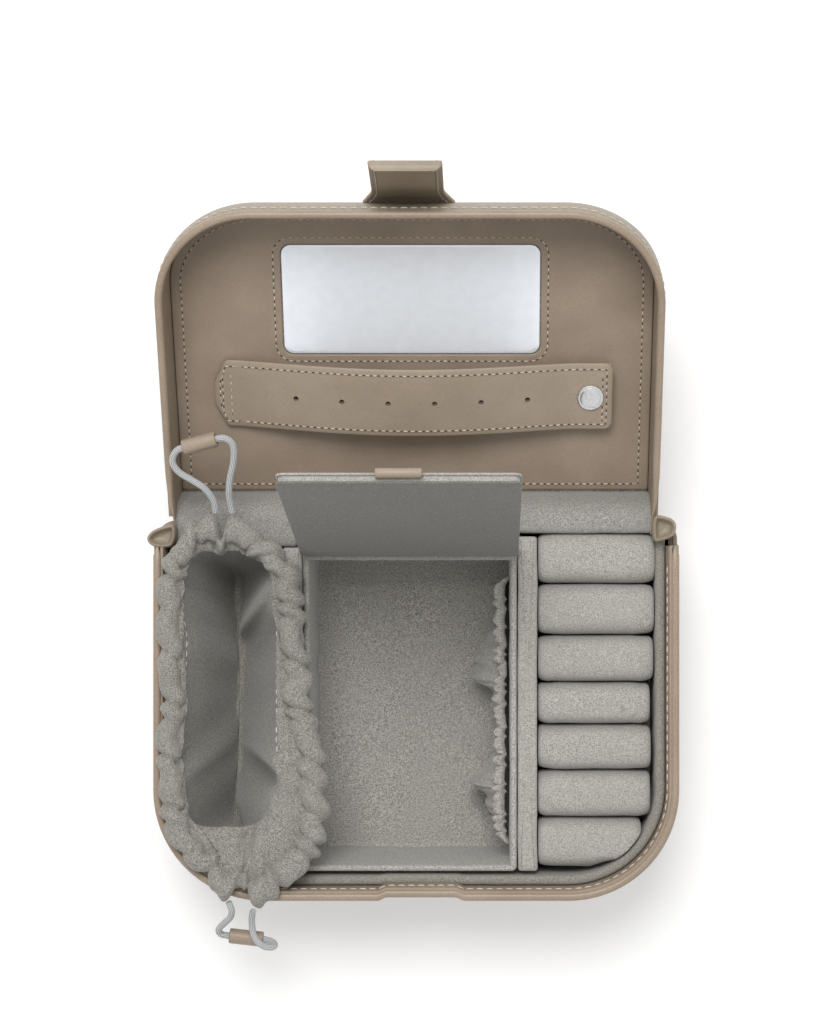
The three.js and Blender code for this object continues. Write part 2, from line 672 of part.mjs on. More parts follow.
const strapMiddle = (strapStart + strapEnd) / 2;
const holeTools = Array.from({ length: strapHoleCount }, (_, i) => {
  const x = (i - (strapHoleCount - 1) / 2) * strapHolePitch + strapHoleOffset;
  return disc(strapHole, lidDepth, cordSides).translate(x, strapMiddle, strapLow + strapArch);
});
const strapBody = alongY(strapProfile(strapSeam + turnedGap, strapX1, 0, strapLeather, archSteps), strapStart, strapEnd);
piece('earring_strap', cut(strapBody, ...holeTools), 'leather', lid);
const strapUnder = alongY(
  strapProfile(strapSeam + turnedGap, strapX1 - backingMargin, -strapBacking - turnedGap, -turnedGap, archSteps),
  strapStart + backingMargin, strapEnd - backingMargin,
);
piece('strap_backing', cut(strapUnder, ...holeTools), 'suede', lid);
const snapX = strapX1 - snapInset;
const capBottom = strapLevel(snapX) + strapLeather + turnedGap;
const capProfile = [
  [0, 0], [snapCapDiameter / 2, 0], [snapCapDiameter / 2, snapCapHeight * 0.4],
  [snapCapDiameter * 0.4, snapCapHeight * 0.85],
  [snapCapDiameter * 0.2, snapCapHeight], [0, snapCapHeight],
].map(([r, z]) => new THREE.Vector2(r, z));
piece('strap_snap_cap', new THREE.LatheGeometry(capProfile, roundSides).rotateX(quarterTurn)
  .translate(snapX, strapMiddle, capBottom), 'metal', lid);
const socketTop = strapLevel(snapX) - strapBacking - 2 * turnedGap;
piece('strap_snap_socket', disc(snapStudDiameter, snapSocketHeight)
  .translate(snapX, strapMiddle, socketTop - snapSocketHeight / 2), 'metal', lid);
piece('snap_stud', disc(snapStudDiameter, socketTop - snapSocketHeight - strapLow)
  .translate(snapX, strapMiddle, (strapLow + socketTop - snapSocketHeight - turnedGap) / 2), 'metal', lid);
const anchorTop = strapLow + strapLeather + strapBacking;
piece('strap_anchor', plate(new THREE.Shape([
  [strapSeam, strapStart], [strapSeam, strapEnd], [strapX0 + strapChamfer / 2, strapEnd], [strapX0, strapEnd - strapChamfer],
  [strapX0, strapStart + strapChamfer], [strapX0 + strapChamfer / 2, strapStart],
].map(([x, y]) => new THREE.Vector2(x, y)).reverse()), strapLow, anchorTop), 'leather', lid);

// Closing tab: its root is sewn to the lid's free wall, and the rest bends at the rim
const tabX0 = tabOffset - tabWidth / 2;
const tabX1 = tabOffset + tabWidth / 2;
const tabSeat = lidLength + turnedGap;
const tabPivotY = tabSeat + tabReach;
const tabPivotZ = -tabRootDepth + tabLeather / 2;
const lean = radians(tabLean);
function tabPoint(along, aside) {
  return [
    tabPivotY + Math.sin(lean) * along + Math.cos(lean) * aside,
    tabPivotZ + Math.cos(lean) * along - Math.sin(lean) * aside,
  ];
}
// How far below the pivot the root's two faces meet the leaning wall and the foot that is sewn to it
function rootLength(aside) {
  const across = tabReach + aside * (Math.cos(lean) - 1) + wallSlope * (aside * Math.sin(lean) - tabPivotZ - draftStart);
  return across / (Math.sin(lean) - wallSlope * Math.cos(lean));
}
const rootInside = tabPoint(-rootLength(0), 0);
const rootOutside = tabPoint(-rootLength(tabLeather), tabLeather);
const footZ = rootInside[1] - tabSeam;
const footY = tabSeat - draftAt(footZ);
piece('tab_root', alongX([
  [footY, footZ], [footY + tabLeather, footZ], rootOutside,
  tabPoint(-tabHingeGap, tabLeather), tabPoint(-tabHingeGap, 0), rootInside,
], tabX0 - tabFlare, tabX1 + tabFlare), 'leather', lid);
const tabStrip = (from, to, low, high) => alongX(
  [tabPoint(from, low), tabPoint(from, high), tabPoint(to, high), tabPoint(to, low)], tabX0, tabX1,
);
function leaned(geometry, along, aside) {
  const [y, z] = tabPoint(along, aside);
  return geometry.rotateX(quarterTurn + halfTurn - lean).translate(tabOffset, y, z);
}
const magnetAlong = tabLength * 0.6;
piece('tab_leather', cut(
  tabStrip(0, tabLength, 0, tabLeather),
  leaned(disc(tabMagnetDiameter + 2 * turnedGap, 2 * (magnetThickness + turnedGap)), magnetAlong, 0),
), 'leather', lid);
piece('tab_magnet', leaned(disc(tabMagnetDiameter, magnetThickness), magnetAlong, magnetThickness / 2), 'magnet', lid);
piece('tab_lining', tabStrip(layerGap, tabLength, -turnedGap - tabLining, -turnedGap), 'leather', lid);

// Flap of the lift-out box, built flat and then stood up past the vertical
const flapLength = boxLength - flapShortfall;
const flapWidth = boxWidth + 2 * flapSideReach;
const flapPivotY = boxBack - boxWall / 2;
const flapPivotZ = trayTop + stripThickness + layerGap;
const flap = new THREE.Group();
flap.position.set(boxCentreX, flapPivotY, flapPivotZ);
flap.rotation.x = quarterTurn - radians(flapLean);
group.add(flap);
function flapShape(inset) {
  return roundedRectangle(
    -flapWidth / 2 + inset, flapWidth / 2 - inset, flapStart + inset, flapStart + flapLength - inset, flapRadius,
  );
}
const flapBoardTop = -flapCover - turnedGap;
const flapCoverTop = flapBoardTop - flapBoard - turnedGap;
const flapBottom = flapCoverTop - flapCover;
piece('flap_lining', plate(flapShape(0), -flapCover, 0), 'weave', flap);
piece('flap_board', plate(flapShape(leather), flapBoardTop - flapBoard, flapBoardTop), 'board', flap);
piece('flap_cover', plate(flapShape(0), flapBottom, flapCoverTop), 'suede', flap);
const flapEnd = flapStart + flapLength;
const foldFrom = flapEnd - pullTabReach;
const foldInner = flapEnd + turnedGap;
const foldOuter = foldInner + pullTabLoop;
const foldTop = (flapBoardTop + flapCoverTop) / 2;
piece('flap_pull_tab', alongX([
  [foldInner, foldTop], [foldInner, flapBottom - turnedGap], [foldFrom, flapBottom - turnedGap],
  [foldFrom, flapBottom - turnedGap - pullTabThickness], [foldOuter, flapBottom - turnedGap - pullTabThickness],
  [foldOuter, foldTop],
], -pullTabWidth / 2, pullTabWidth / 2), 'leather', flap);
piece('flap_hinge_strip', block(boxLeft, boxRight, boxBack - boxWall, boxBack, trayTop, trayTop + stripThickness), 'suede');

// Soft hinge: the spine folds over the back wall, the lining lies over the fold, and a gusset loops out at each end
function band(line, thickness) {
  const side = line.map(([y, z], i) => {
    const [py, pz] = line[Math.max(i - 1, 0)];
    const [qy, qz] = line[Math.min(i + 1, line.length - 1)];
    const size = Math.hypot(qy - py, qz - pz);
    return [y + (qz - pz) * thickness / size, z + (py - qy) * thickness / size];
  });
  return [...line, ...side.reverse()];
}
const tilt = radians(lidAngle);
function fromLid(along, height) {
  return [
    hingeY + along * Math.cos(tilt) - height * Math.sin(tilt),
    hingeZ + along * Math.sin(tilt) + height * Math.cos(tilt),
  ];
}
const spineX = lidWidth / 2 - lidWall - fitGap;
const [skinY, skinZ] = fromLid(-lidBackOverhang, skinBottom + lidSkin);
const wallLegY = caseBack + layerGap;
const lidLegY = skinY + spineLeather;
const spineTop = backWallHeight + spineLeather;
const spineLine = [
  [wallLegY, backWallHeight - lidDepth / 2], [wallLegY, backWallHeight], [wallLegY + spineLeather / 2, spineTop],
  [lidLegY - spineLeather / 2, spineTop], [lidLegY, backWallHeight],
  [lidLegY, skinZ + turnedGap + spineLeather * Math.tan(tilt)],
];
piece('spine_leather', alongX(band(spineLine, spineLeather), lidOffset - spineX, lidOffset + spineX), 'leather');
const [liningY, liningZ] = fromLid(0, panelTop);
const insideY = caseBack - boardInner - layerGap - spineLining;
const liningTop = spineTop + spineLining + fitGap;
const liningLegY = Math.max(lidLegY, liningY) + spineLining + fitGap;
const liningLine = [
  [insideY, trayTop - lipDrop], [insideY, liningTop - spineLining], [insideY + spineLining, liningTop],
  [liningLegY - spineLining, liningTop], [liningLegY, liningTop - spineLining], [liningLegY, liningZ + turnedGap],
];
piece('spine_lining', alongX(band(liningLine, spineLining), lidOffset - spineX, lidOffset + spineX), 'weave');

function gusset(side) {
  const x = caseWidth / 2 - rollWidth / 4;
  const loop = [
    [x, lipEndY + 2 * fitGap], [x + gussetBulge * 0.8, lipEndY + gussetBulge * 0.6],
    [x + gussetBulge, lipEndY + gussetBulge * 1.6],
    [x + gussetBulge * 0.3, caseBack - gussetThickness], [x - gussetBulge * 0.8, caseBack],
  ];
  const shape = new THREE.Shape(band(loop, -gussetThickness).map(([px, py]) => new THREE.Vector2(px * side, py)));
  return plate(shape, backWallHeight + fitGap, rimHeight);
}
piece('left_corner_gusset', gusset(-1), 'leather');
piece('right_corner_gusset', gusset(1), 'leather');

export default group;
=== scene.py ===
"""An open travel jewelry case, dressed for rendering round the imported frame.

Lengths are in millimetres unless a name says otherwise, and each mesh is scaled to metres when it is built.
The frame's origin is the centre of the flat underside, with +Y to the hinge, +X to the right and +Z up.
"""

import json
import logging
import math
from dataclasses import dataclass, field, replace
from enum import Enum
from typing import Sequence

import bmesh
import bpy
import numpy as np
from mathutils import Matrix, Vector


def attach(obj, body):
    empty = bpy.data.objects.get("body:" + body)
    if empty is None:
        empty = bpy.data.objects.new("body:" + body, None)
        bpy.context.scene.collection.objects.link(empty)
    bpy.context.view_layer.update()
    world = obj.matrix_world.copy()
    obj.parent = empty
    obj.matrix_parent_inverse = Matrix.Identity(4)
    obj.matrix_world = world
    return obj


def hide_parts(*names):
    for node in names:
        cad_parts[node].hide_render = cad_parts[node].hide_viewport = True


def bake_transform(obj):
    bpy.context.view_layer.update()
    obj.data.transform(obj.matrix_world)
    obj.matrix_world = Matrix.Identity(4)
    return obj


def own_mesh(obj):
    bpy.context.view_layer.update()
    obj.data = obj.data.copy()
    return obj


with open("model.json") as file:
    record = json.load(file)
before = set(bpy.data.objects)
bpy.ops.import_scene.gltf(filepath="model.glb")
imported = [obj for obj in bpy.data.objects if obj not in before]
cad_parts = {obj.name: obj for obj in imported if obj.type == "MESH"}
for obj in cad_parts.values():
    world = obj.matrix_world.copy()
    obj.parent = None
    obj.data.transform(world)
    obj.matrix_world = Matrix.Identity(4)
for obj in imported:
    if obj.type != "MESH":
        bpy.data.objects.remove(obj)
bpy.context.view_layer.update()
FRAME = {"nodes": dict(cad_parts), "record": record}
MILLIMETRE = 0.001
TINY = 1e-9
WHITE = (1.0, 1.0, 1.0, 1.0)
LOG = logging.getLogger("jewelry_case")

Points = np.ndarray


# Meshes


def grid_faces(rows: int, columns: int, wrap_rows: bool, wrap_columns: bool) -> Points:
    """Quads of a grid whose points are numbered row by row.

    Args:
        rows: Number of rows.
        columns: Number of points in a row.
        wrap_rows: True if the last row joins the first.
        wrap_columns: True if the last column joins the first.

    Returns:
        An array of four point numbers a face.
    """
    row = np.arange(rows if wrap_rows else rows - 1)
    column = np.arange(columns if wrap_columns else columns - 1)
    a, b = np.meshgrid(row, column, indexing="ij")
    a_next, b_next = (a + 1) % rows, (b + 1) % columns
    corners = [a * columns + b, a_next * columns + b, a_next * columns + b_next, a * columns + b_next]
    return np.stack(corners, axis=-1).reshape(-1, 4)


@dataclass
class Shell:
    """Collects grids of points in millimetres and builds them into one object at the origin."""

    name: str
    points: list[Points] = field(default_factory=list)
    faces: list[list[int]] = field(default_factory=list)
    count: int = 0

    def grid(self, points: Points, wrap_rows: bool = False, wrap_columns: bool = True, caps: bool = True) -> "Shell":
        """Adds a grid, with a face over its first and last row if it has caps.

        Args:
            points: An array of rows, columns and three coordinates.
            wrap_rows: True if the last row joins the first.
            wrap_columns: True if each row is a closed loop.
            caps: True if the first and last rows are closed with one face each.

        Returns:
            The shell itself.
        """
        rows, columns = points.shape[:2]
        faces = grid_faces(rows, columns, wrap_rows, wrap_columns) + self.count
        self.faces.extend(faces.tolist())
        if caps and not wrap_rows:
            self.faces.append((np.arange(columns)[::-1] + self.count).tolist())
            self.faces.append((np.arange(columns) + (rows - 1) * columns + self.count).tolist())
        self.points.append(points.reshape(-1, 3))
        self.count += rows * columns
        return self

    def build(self, sharp_angle: float = 40.0, weld: float = 0.01) -> bpy.types.Object:
        """Makes the mesh and its object, with doubles merged, faces turned out and soft shading.

        Args:
            sharp_angle: Edges that turn by more than this many degrees stay sharp.
            weld: Points closer than this are merged, in millimetres.

        Returns:
            The new object.
        """
        mesh = bpy.data.meshes.new(self.name)
        mesh.from_pydata((np.concatenate(self.points) * MILLIMETRE).tolist(), [], self.faces)
        work = bmesh.new()
        work.from_mesh(mesh)
        bmesh.ops.remove_doubles(work, verts=work.verts, dist=weld * MILLIMETRE)
        bmesh.ops.recalc_face_normals(work, faces=work.faces)
        work.to_mesh(mesh)
        work.free()
        mesh.shade_smooth()
        mesh.set_sharp_from_angle(angle=math.radians(sharp_angle))
        piece = bpy.data.objects.new(self.name, mesh)
        bpy.context.scene.collection.objects.link(piece)
        return piece


def smoothstep(value: Points) -> Points:
    """Eases a value from 0 to 1, flat at both ends."""
    t = np.clip(value, 0.0, 1.0)
    return t * t * (3 - 2 * t)


def quarter_round(value: Points) -> Points:
    """Rises from 0 to 1 along a quarter circle, steep at its start."""
    return np.sqrt(1 - (1 - np.clip(value, 0, 1)) ** 2)


def signed_power(value: Points, exponent: float) -> Points:
    """A power that keeps the sign."""
    return np.sign(value) * np.abs(value) ** exponent


def full_turn(count: int) -> Points:
    """Angles evenly round a circle, from 0."""
    return np.linspace(0, 2 * np.pi, count, endpoint=False)


def unit(vectors: Points) -> Points:
    """Vectors brought to a length of 1."""
    return vectors / np.maximum(np.linalg.norm(vectors, axis=-1, keepdims=True), TINY)


def raised(flat: Points, height: Points | float) -> Points:
    """Points in plan with their height as a third coordinate."""
    level = np.broadcast_to(np.asarray(height, float), flat.shape[:-1])
    return np.concatenate([flat, level[..., None]], axis=-1)


def closed(loop: Points) -> Points:
    """A loop with its first point again at its end."""
    return np.concatenate([loop, loop[:1]])


def shrunk(ring: Points, middle: Points, shares: Points) -> Points:
    """Copies of a ring in plan, each brought toward a middle until its share of the size is left."""
    return middle + (ring - middle) * np.asarray(shares)[:, None, None]


def run_length(line: Points) -> Points:
    """How far along a polyline each of its points lies."""
    return np.concatenate([[0], np.cumsum(np.linalg.norm(np.diff(line, axis=0), axis=1))])


def read_line(at: Points, known: Points, values: Points) -> Points:
    """Reads the columns of an array at places between the known ones."""
    return np.stack([np.interp(at, known, column) for column in values.T], axis=-1)


def right_side(line: Points) -> Points:
    """Directions to the right of a flat line, square to it."""
    tangent = unit(np.gradient(line, axis=0))
    return np.stack([tangent[:, 1], -tangent[:, 0]], axis=-1)


def gathered_in(across: Points, share: float) -> Points:
    """Places across a strap, from -1 to 1, whose distance from the nearer edge shrinks to a share of itself."""
    return np.sign(across) * (1 - (1 - np.abs(across)) * share)


def cubic(points: Sequence[Points], t: Points) -> Points:
    """A Catmull-Rom span, which passes through its two middle points.

    Its slope at each is half the step between that point's neighbours.

    Args:
        points: Four points, or arrays of them.
        t: Where to read the span, from 0 to 1.

    Returns:
        The points on the span.
    """
    p0, p1, p2, p3 = points
    return 0.5 * (
        2 * p1 + (p2 - p0) * t + (2 * p0 - 5 * p1 + 4 * p2 - p3) * t**2 + (3 * p1 - p0 - 3 * p2 + p3) * t**3
    )


def periodic_curve(controls: Points, count: int) -> Points:
    """Samples a closed smooth curve through control points.

    Args:
        controls: The control points.
        count: Number of samples.

    Returns:
        The samples, evenly spaced in the span number.
    """
    n = len(controls)
    at = np.linspace(0, n, count, endpoint=False)
    i = np.floor(at).astype(int)
    t = (at - i)[:, None]
    return cubic([controls[(i + k) % n] for k in (-1, 0, 1, 2)], t)


def smooth_rows(controls: Points, count: int) -> Points:
    """Samples a smooth run through control rows, evenly in the row's number.

    Args:
        controls: Points, or whole rows of points, in order.
        count: Number of samples.

    Returns:
        The samples, each of the same shape as a control row.
    """
    padded = np.concatenate([2 * controls[:1] - controls[1:2], controls, 2 * controls[-1:] - controls[-2:-1]])
    at = np.linspace(0, len(controls) - 1, count)
    i = np.minimum(np.floor(at).astype(int), len(controls) - 2)
    t = (at - i).reshape((-1,) + (1,) * (controls.ndim - 1))
    return cubic([padded[i + k] for k in range(4)], t)


def open_curve(controls: Points, count: int) -> Points:
    """Samples an open smooth curve through control points, evenly along its length.

    Args:
        controls: The control points.
        count: Number of samples.

    Returns:
        The samples.
    """
    return resample(smooth_rows(controls, 40 * len(controls)), count)


def resample(line: Points, count: int) -> Points:
    """Places points at equal steps along a polyline.

    Args:
        line: The polyline.
        count: Number of points.

    Returns:
        The new points.
    """
    length = run_length(line)
    return read_line(np.linspace(0, length[-1], count), length, line)


def ripple(phase: Points, seed: int, terms: int = 5) -> Points:
    """A repeatable uneven wave between about -1 and 1.

    It is a sum of sines whose rates and shifts are drawn from a seeded generator.

    Args:
        phase: Where to read the wave, 1 for one full turn.
        seed: Number of the generator.
        terms: Number of sines.

    Returns:
        The wave's heights.
    """
    draw = np.random.default_rng(seed)
    total = np.zeros_like(phase)
    for k in range(1, terms + 1):
        total += np.sin(2 * np.pi * (k * phase + draw.random())) * draw.uniform(0.5, 1.0) / math.sqrt(terms)
    return total


@dataclass(frozen=True)
class Plane:
    """A tilted place for a part that is built flat: it turns about X and then moves."""

    origin: tuple[float, float, float]
    angle: float

    def place(self, points: Points) -> Points:
        """Carries points from the flat place into the frame, in millimetres."""
        c, s = math.cos(math.radians(self.angle)), math.sin(math.radians(self.angle))
        points = np.asarray(points, float)
        x, y, z = points[..., 0], points[..., 1], points[..., 2]
        return np.stack([x, y * c - z * s, y * s + z * c], axis=-1) + np.array(self.origin)


LID = Plane((-1.0, 54.0, 49.0), 25.5)
FLAP = Plane((-2.2, 48.45, 48.7), 76.6)
LEVEL = Plane((0.0, 0.0, 0.0), 0.0)


# Plans and sections


@dataclass(frozen=True)
class Plan:
    """A line in plan with the direction that points into the case at each point."""

    at: Points
    inward: Points

    def inset(self, amount: float) -> Points:
        """The line moved inward by an amount."""
        return self.at + self.inward * amount

    def sweep(self, section: Points) -> Points:
        """Carries a section of (inset, height) points along the line.

        Each point is the plan point moved inward by the section's first number, at the height of its second.

        Args:
            section: The section's points.

        Returns:
            A grid with a row for each point of the line.
        """
        flat = self.at[:, None, :] + self.inward[:, None, :] * section[None, :, :1]
        return raised(flat, section[:, 1])

    def stack(self, section: Points) -> Points:
        """The same as sweep, with a row for each point of the section, for closed plans."""
        return np.swapaxes(self.sweep(section), 0, 1)


def arc_points(x: float, y: float, radius: float, start: float, end: float, count: int) -> tuple[Points, Points]:
    """Points of an arc in plan and the directions to its centre, with angles in degrees."""
    angle = np.radians(np.linspace(start, end, count))
    out = np.stack([np.cos(angle), np.sin(angle)], axis=-1)
    return np.array([x, y]) + radius * out, -out


Stretch = tuple[Points, Points]


def straight(start: Sequence[float], end: Sequence[float], inward: Sequence[float], step: float = 3.0) -> Stretch:
    """Points between the ends of a straight stretch of a plan, without the ends themselves."""
    count = max(int(math.dist(start, end) / step), 2)
    share = np.linspace(0, 1, count + 1)[1:-1, None]
    at = np.array(start) * (1 - share) + np.array(end) * share
    return at, np.broadcast_to(np.array(inward, float), at.shape)


def side_point(x: float, y: float) -> Stretch:
    """A stretch of one point on a side wall, which faces the middle."""
    return np.array([[x, y]]), np.array([[-1.0 if x > 0 else 1.0, 0.0]])


def joined(parts: Sequence[Stretch]) -> Plan:
    """One plan from stretches in order."""
    return Plan(*(np.concatenate(column) for column in zip(*parts)))


def rounded_plan(x0: float, x1: float, y0: float, y1: float, radius: float, step: float = 3.0, corner: int = 9) -> Plan:
    """A rectangle with rounded corners as a closed plan, anticlockwise from its right side."""
    left, right, front, back = x0 + radius, x1 - radius, y0 + radius, y1 - radius
    centres = [(right, front), (right, back), (left, back), (left, front)]
    parts = []
    for k, side in enumerate([(-1, 0), (0, -1), (1, 0), (0, 1)]):
        at, toward = arc_points(*centres[k], radius, 90 * k - 90, 90 * k, corner)
        ahead, _ = arc_points(*centres[(k + 1) % 4], radius, 90 * k, 90 * k, 1)
        parts += [(at, toward), straight(at[-1], ahead[0], side, step)]
    return joined(parts)


def soft_section(low: float, high: float, bottom: float, top: float, radius: float, steps: int = 5) -> Points:
    """A section rectangle with rounded corners: each corner is a quarter circle round its own centre.

    Args:
        low: Smallest inset.
        high: Largest inset.
        bottom: Lowest height.
        top: Highest height.
        radius: Radius of the corners.
        steps: Points in a corner.

    Returns:
        The closed section.
    """
    angle = np.radians(np.concatenate([np.linspace(k * 90, k * 90 + 90, steps) for k in range(4)]))
    right, up = np.repeat([1, 0, 0, 1], steps), np.repeat([1, 1, 0, 0], steps)
    centre_in = np.where(right == 1, high - radius, low + radius)
    centre_up = np.where(up == 1, top - radius, bottom + radius)
    return np.stack([centre_in + radius * np.cos(angle), centre_up + radius * np.sin(angle)], axis=-1)


def slab(plan: Plan, bottom: float, top: float, radius: float, steps: int = 4, crown: float = 0.0) -> Points:
    """A plate over a closed plan with rounded edges and an optional crown.

    Rows go from the middle of the underside round the edge to the middle of the top. The edge is two quarter circles,
    and the flat faces shrink toward the plan's middle. The top rises by the crown times one less the share squared.

    Args:
        plan: The closed outline.
        bottom: Height of the underside.
        top: Height of the top at its edge.
        radius: Radius of the edge.
        steps: Points in each quarter circle.
        crown: How much the middle of the top rises.

    Returns:
        The grid, which needs caps.
    """
    turn = np.radians(np.linspace(-90, 0, steps))
    lower = np.stack([radius - radius * np.cos(turn), bottom + radius + radius * np.sin(turn)], axis=-1)
    upper = np.stack([radius - radius * np.cos(turn), top - radius - radius * np.sin(turn)], axis=-1)[::-1]
    edge = plan.stack(np.concatenate([lower, upper]))
    middle = plan.at.mean(axis=0)
    shares = np.array([0.96, 0.88, 0.76, 0.6, 0.4, 0.2, 0.02])

    def face(rim: Points, rise: float) -> Points:
        """Rings from a rim toward the middle."""
        return raised(shrunk(rim[:, :2], middle, shares), rim[:, 2] + rise * (1 - shares**2)[:, None])

    return np.concatenate([face(edge[0], 0.0)[::-1], edge, face(edge[-1], crown)])


# Finishes


def linear(colour: tuple[int, int, int]) -> tuple[float, float, float, float]:
    """Turns a written screen colour from 0 to 255 into the linear one that shaders take."""
    part = [c / 255 for c in colour]
    return tuple(c / 12.92 if c <= 0.04045 else ((c + 0.055) / 1.055) ** 2.4 for c in part) + (1.0,)


class Tree:
    """A short way to add nodes to a material or a group."""

    def __init__(self, tree: bpy.types.NodeTree) -> None:
        """Keeps the tree that nodes are added to."""
        self.tree = tree

    def add(self, kind: str, **values: object) -> bpy.types.Node:
        """Adds a node and sets its inputs by name, or its own properties where it has no such input."""
        node = self.tree.nodes.new(kind)
        for key, value in values.items():
            if hasattr(node, key):
                setattr(node, key, value)
            else:
                self.put(node, **{key: value})
        return node

    def feed(self, socket: bpy.types.NodeSocket, value: object) -> None:
        """Links another socket to a socket, or sets the socket's own value."""
        if isinstance(value, bpy.types.NodeSocket):
            self.tree.links.new(value, socket)
        else:
            socket.default_value = value

    def put(self, node: bpy.types.Node, **values: object) -> None:
        """Sets or links inputs, named with underscores for spaces."""
        for key, value in values.items():
            name = key.replace("_", " ").lower()
            self.feed(next(s for s in node.inputs if s.name.lower() == name and s.enabled), value)

    def math(self, operation: str, first: object, second: object = 0.0) -> bpy.types.NodeSocket:
        """A maths node of two values."""
        node = self.add("ShaderNodeMath", operation=operation)
        for socket, value in zip(node.inputs, (first, second)):
            self.feed(socket, value)
        return node.outputs[0]

    def scaled(self, value: object, factor: float, start: float = 0.0) -> bpy.types.NodeSocket:
        """A value times a factor, added to a start where there is one."""
        product = self.math("MULTIPLY", value, factor)
        return self.math("ADD", start, product) if start else product

    def mix(self, share: object, first: object, second: object) -> bpy.types.NodeSocket:
        """A colour between two colours."""
        node = self.add("ShaderNodeMix", data_type="RGBA")
        for index, value in ((0, share), (6, first), (7, second)):
            self.feed(node.inputs[index], value)
        return node.outputs[2]

    def ramp(self, value: bpy.types.NodeSocket, low: float, high: float) -> bpy.types.NodeSocket:
        """Maps a value so that low becomes 0 and high becomes 1, with a soft start and end."""
        node = self.add("ShaderNodeMapRange", interpolation_type="SMOOTHSTEP")
        self.put(node, Value=value, From_Min=low, From_Max=high)
        return node.outputs["Result"]

    def place(self) -> bpy.types.NodeSocket:
        """The place in the piece's own space."""
        return self.add("ShaderNodeTexCoord").outputs["Object"]

    def noise(self, place: bpy.types.NodeSocket, **values: object) -> bpy.types.NodeSocket:
        """Noise at a place."""
        return self.add("ShaderNodeTexNoise", Vector=place, **values).outputs["Fac"]

    def seen_straight(self) -> bpy.types.NodeSocket:
        """1 for the camera's own rays and for those that went through or off a smooth surface, and 0 for the rest."""
        path = self.add("ShaderNodeLightPath")
        either = self.math("MAXIMUM", path.outputs["Is Camera Ray"], path.outputs["Is Transmission Ray"])
        return self.math("MAXIMUM", either, path.outputs["Is Glossy Ray"])


def new_material(name: str) -> tuple[bpy.types.Material, Tree, bpy.types.Node]:
    """Makes a material, with its tree and its shader."""
    made = bpy.data.materials.new(name)
    made.use_nodes = True
    return made, Tree(made.node_tree), made.node_tree.nodes["Principled BSDF"]


def new_group(
    name: str, inputs: dict[str, float], outputs: Sequence[str]
) -> tuple[Tree, bpy.types.Node, bpy.types.Node]:
    """Makes a node group with float inputs and float outputs.

    Args:
        name: The group's name.
        inputs: Names of its inputs with their defaults.
        outputs: Names of its outputs.

    Returns:
        The group's tree, its input node and its output node.
    """
    group = bpy.data.node_groups.new(name, "ShaderNodeTree")
    for label, default in inputs.items():
        group.interface.new_socket(label, in_out="INPUT", socket_type="NodeSocketFloat").default_value = default
    for label in outputs:
        group.interface.new_socket(label, in_out="OUTPUT", socket_type="NodeSocketFloat")
    tree = Tree(group)
    return tree, tree.add("NodeGroupInput"), tree.add("NodeGroupOutput")


def grain_group() -> bpy.types.NodeTree:
    """Leather grain: small cells with creases between them, over slow clouds of tone.

    Returns:
        The group, with a Height for bump, a Tone for colour and Creases for the dark lines of painted shade in the
        grain's creases.
    """
    tree, source, result = new_group("leather_grain", {"Cell": 1400.0, "Cloud": 60.0}, ["Height", "Tone", "Creases"])
    place = tree.place()
    warp = tree.add("ShaderNodeTexNoise", Vector=place, Scale=900.0, Detail=2.0).outputs["Color"]
    shifted = tree.add("ShaderNodeVectorMath", operation="MULTIPLY_ADD")
    for socket, value in zip(shifted.inputs, (warp, (0.0006, 0.0006, 0.0006), place)):
        tree.feed(socket, value)
    cells = tree.add(
        "ShaderNodeTexVoronoi", feature="DISTANCE_TO_EDGE", Vector=shifted.outputs[0], Scale=source.outputs["Cell"]
    )
    creases = tree.ramp(cells.outputs["Distance"], 0.0, 0.16)
    fine = tree.noise(place, Scale=5200.0, Detail=2.0)
    cloud = tree.noise(place, Scale=source.outputs["Cloud"], Detail=4.0)
    tree.put(
        result,
        Height=tree.math("ADD", tree.scaled(creases, 0.75), tree.scaled(fine, 0.25)),
        Tone=tree.ramp(cloud, 0.1, 0.9),
        Creases=tree.math("SUBTRACT", 1.0, creases),
    )
    return tree.tree


def cloth_group() -> bpy.types.NodeTree:
    """Fine woven or brushed cloth: short threads across each other, stray darker threads and slow clouds.

    Returns:
        The group, with a Height for bump, a Tone for the threads and a Cloud for slow changes.
    """
    tree, source, result = new_group("cloth_threads", {"Thread": 1500.0, "Cloud": 90.0}, ["Height", "Tone", "Cloud"])
    place = tree.place()

    def threads(stretch: tuple[float, float, float]) -> bpy.types.NodeSocket:
        """Noise drawn out along one direction."""
        turned = tree.add("ShaderNodeMapping", Vector=place, Scale=stretch).outputs[0]
        return tree.noise(turned, Scale=source.outputs["Thread"], Detail=2.0, Roughness=0.6)

    both = tree.math("MAXIMUM", threads((0.4, 1.0, 0.8)), threads((1.0, 0.4, 0.8)))
    fleck = tree.noise(place, Scale=3600.0, Detail=2.0, Roughness=0.7)
    mixed = tree.math("ADD", tree.scaled(both, 0.5), tree.scaled(fleck, 0.5))
    cloud = tree.noise(place, Scale=source.outputs["Cloud"], Detail=5.0, Roughness=0.6)
    tree.put(result, Height=mixed, Tone=tree.ramp(mixed, 0.44, 0.62), Cloud=tree.ramp(cloud, 0.28, 0.72))
    return tree.tree


class Effect(Enum):
    """The shared node groups, by name."""

    GRAIN = "leather_grain"
    CLOTH = "cloth_threads"

    def group(self) -> bpy.types.NodeTree:
        """The group, made once."""
        found = bpy.data.node_groups.get(self.value)
        if found:
            return found
        return grain_group() if self is Effect.GRAIN else cloth_group()


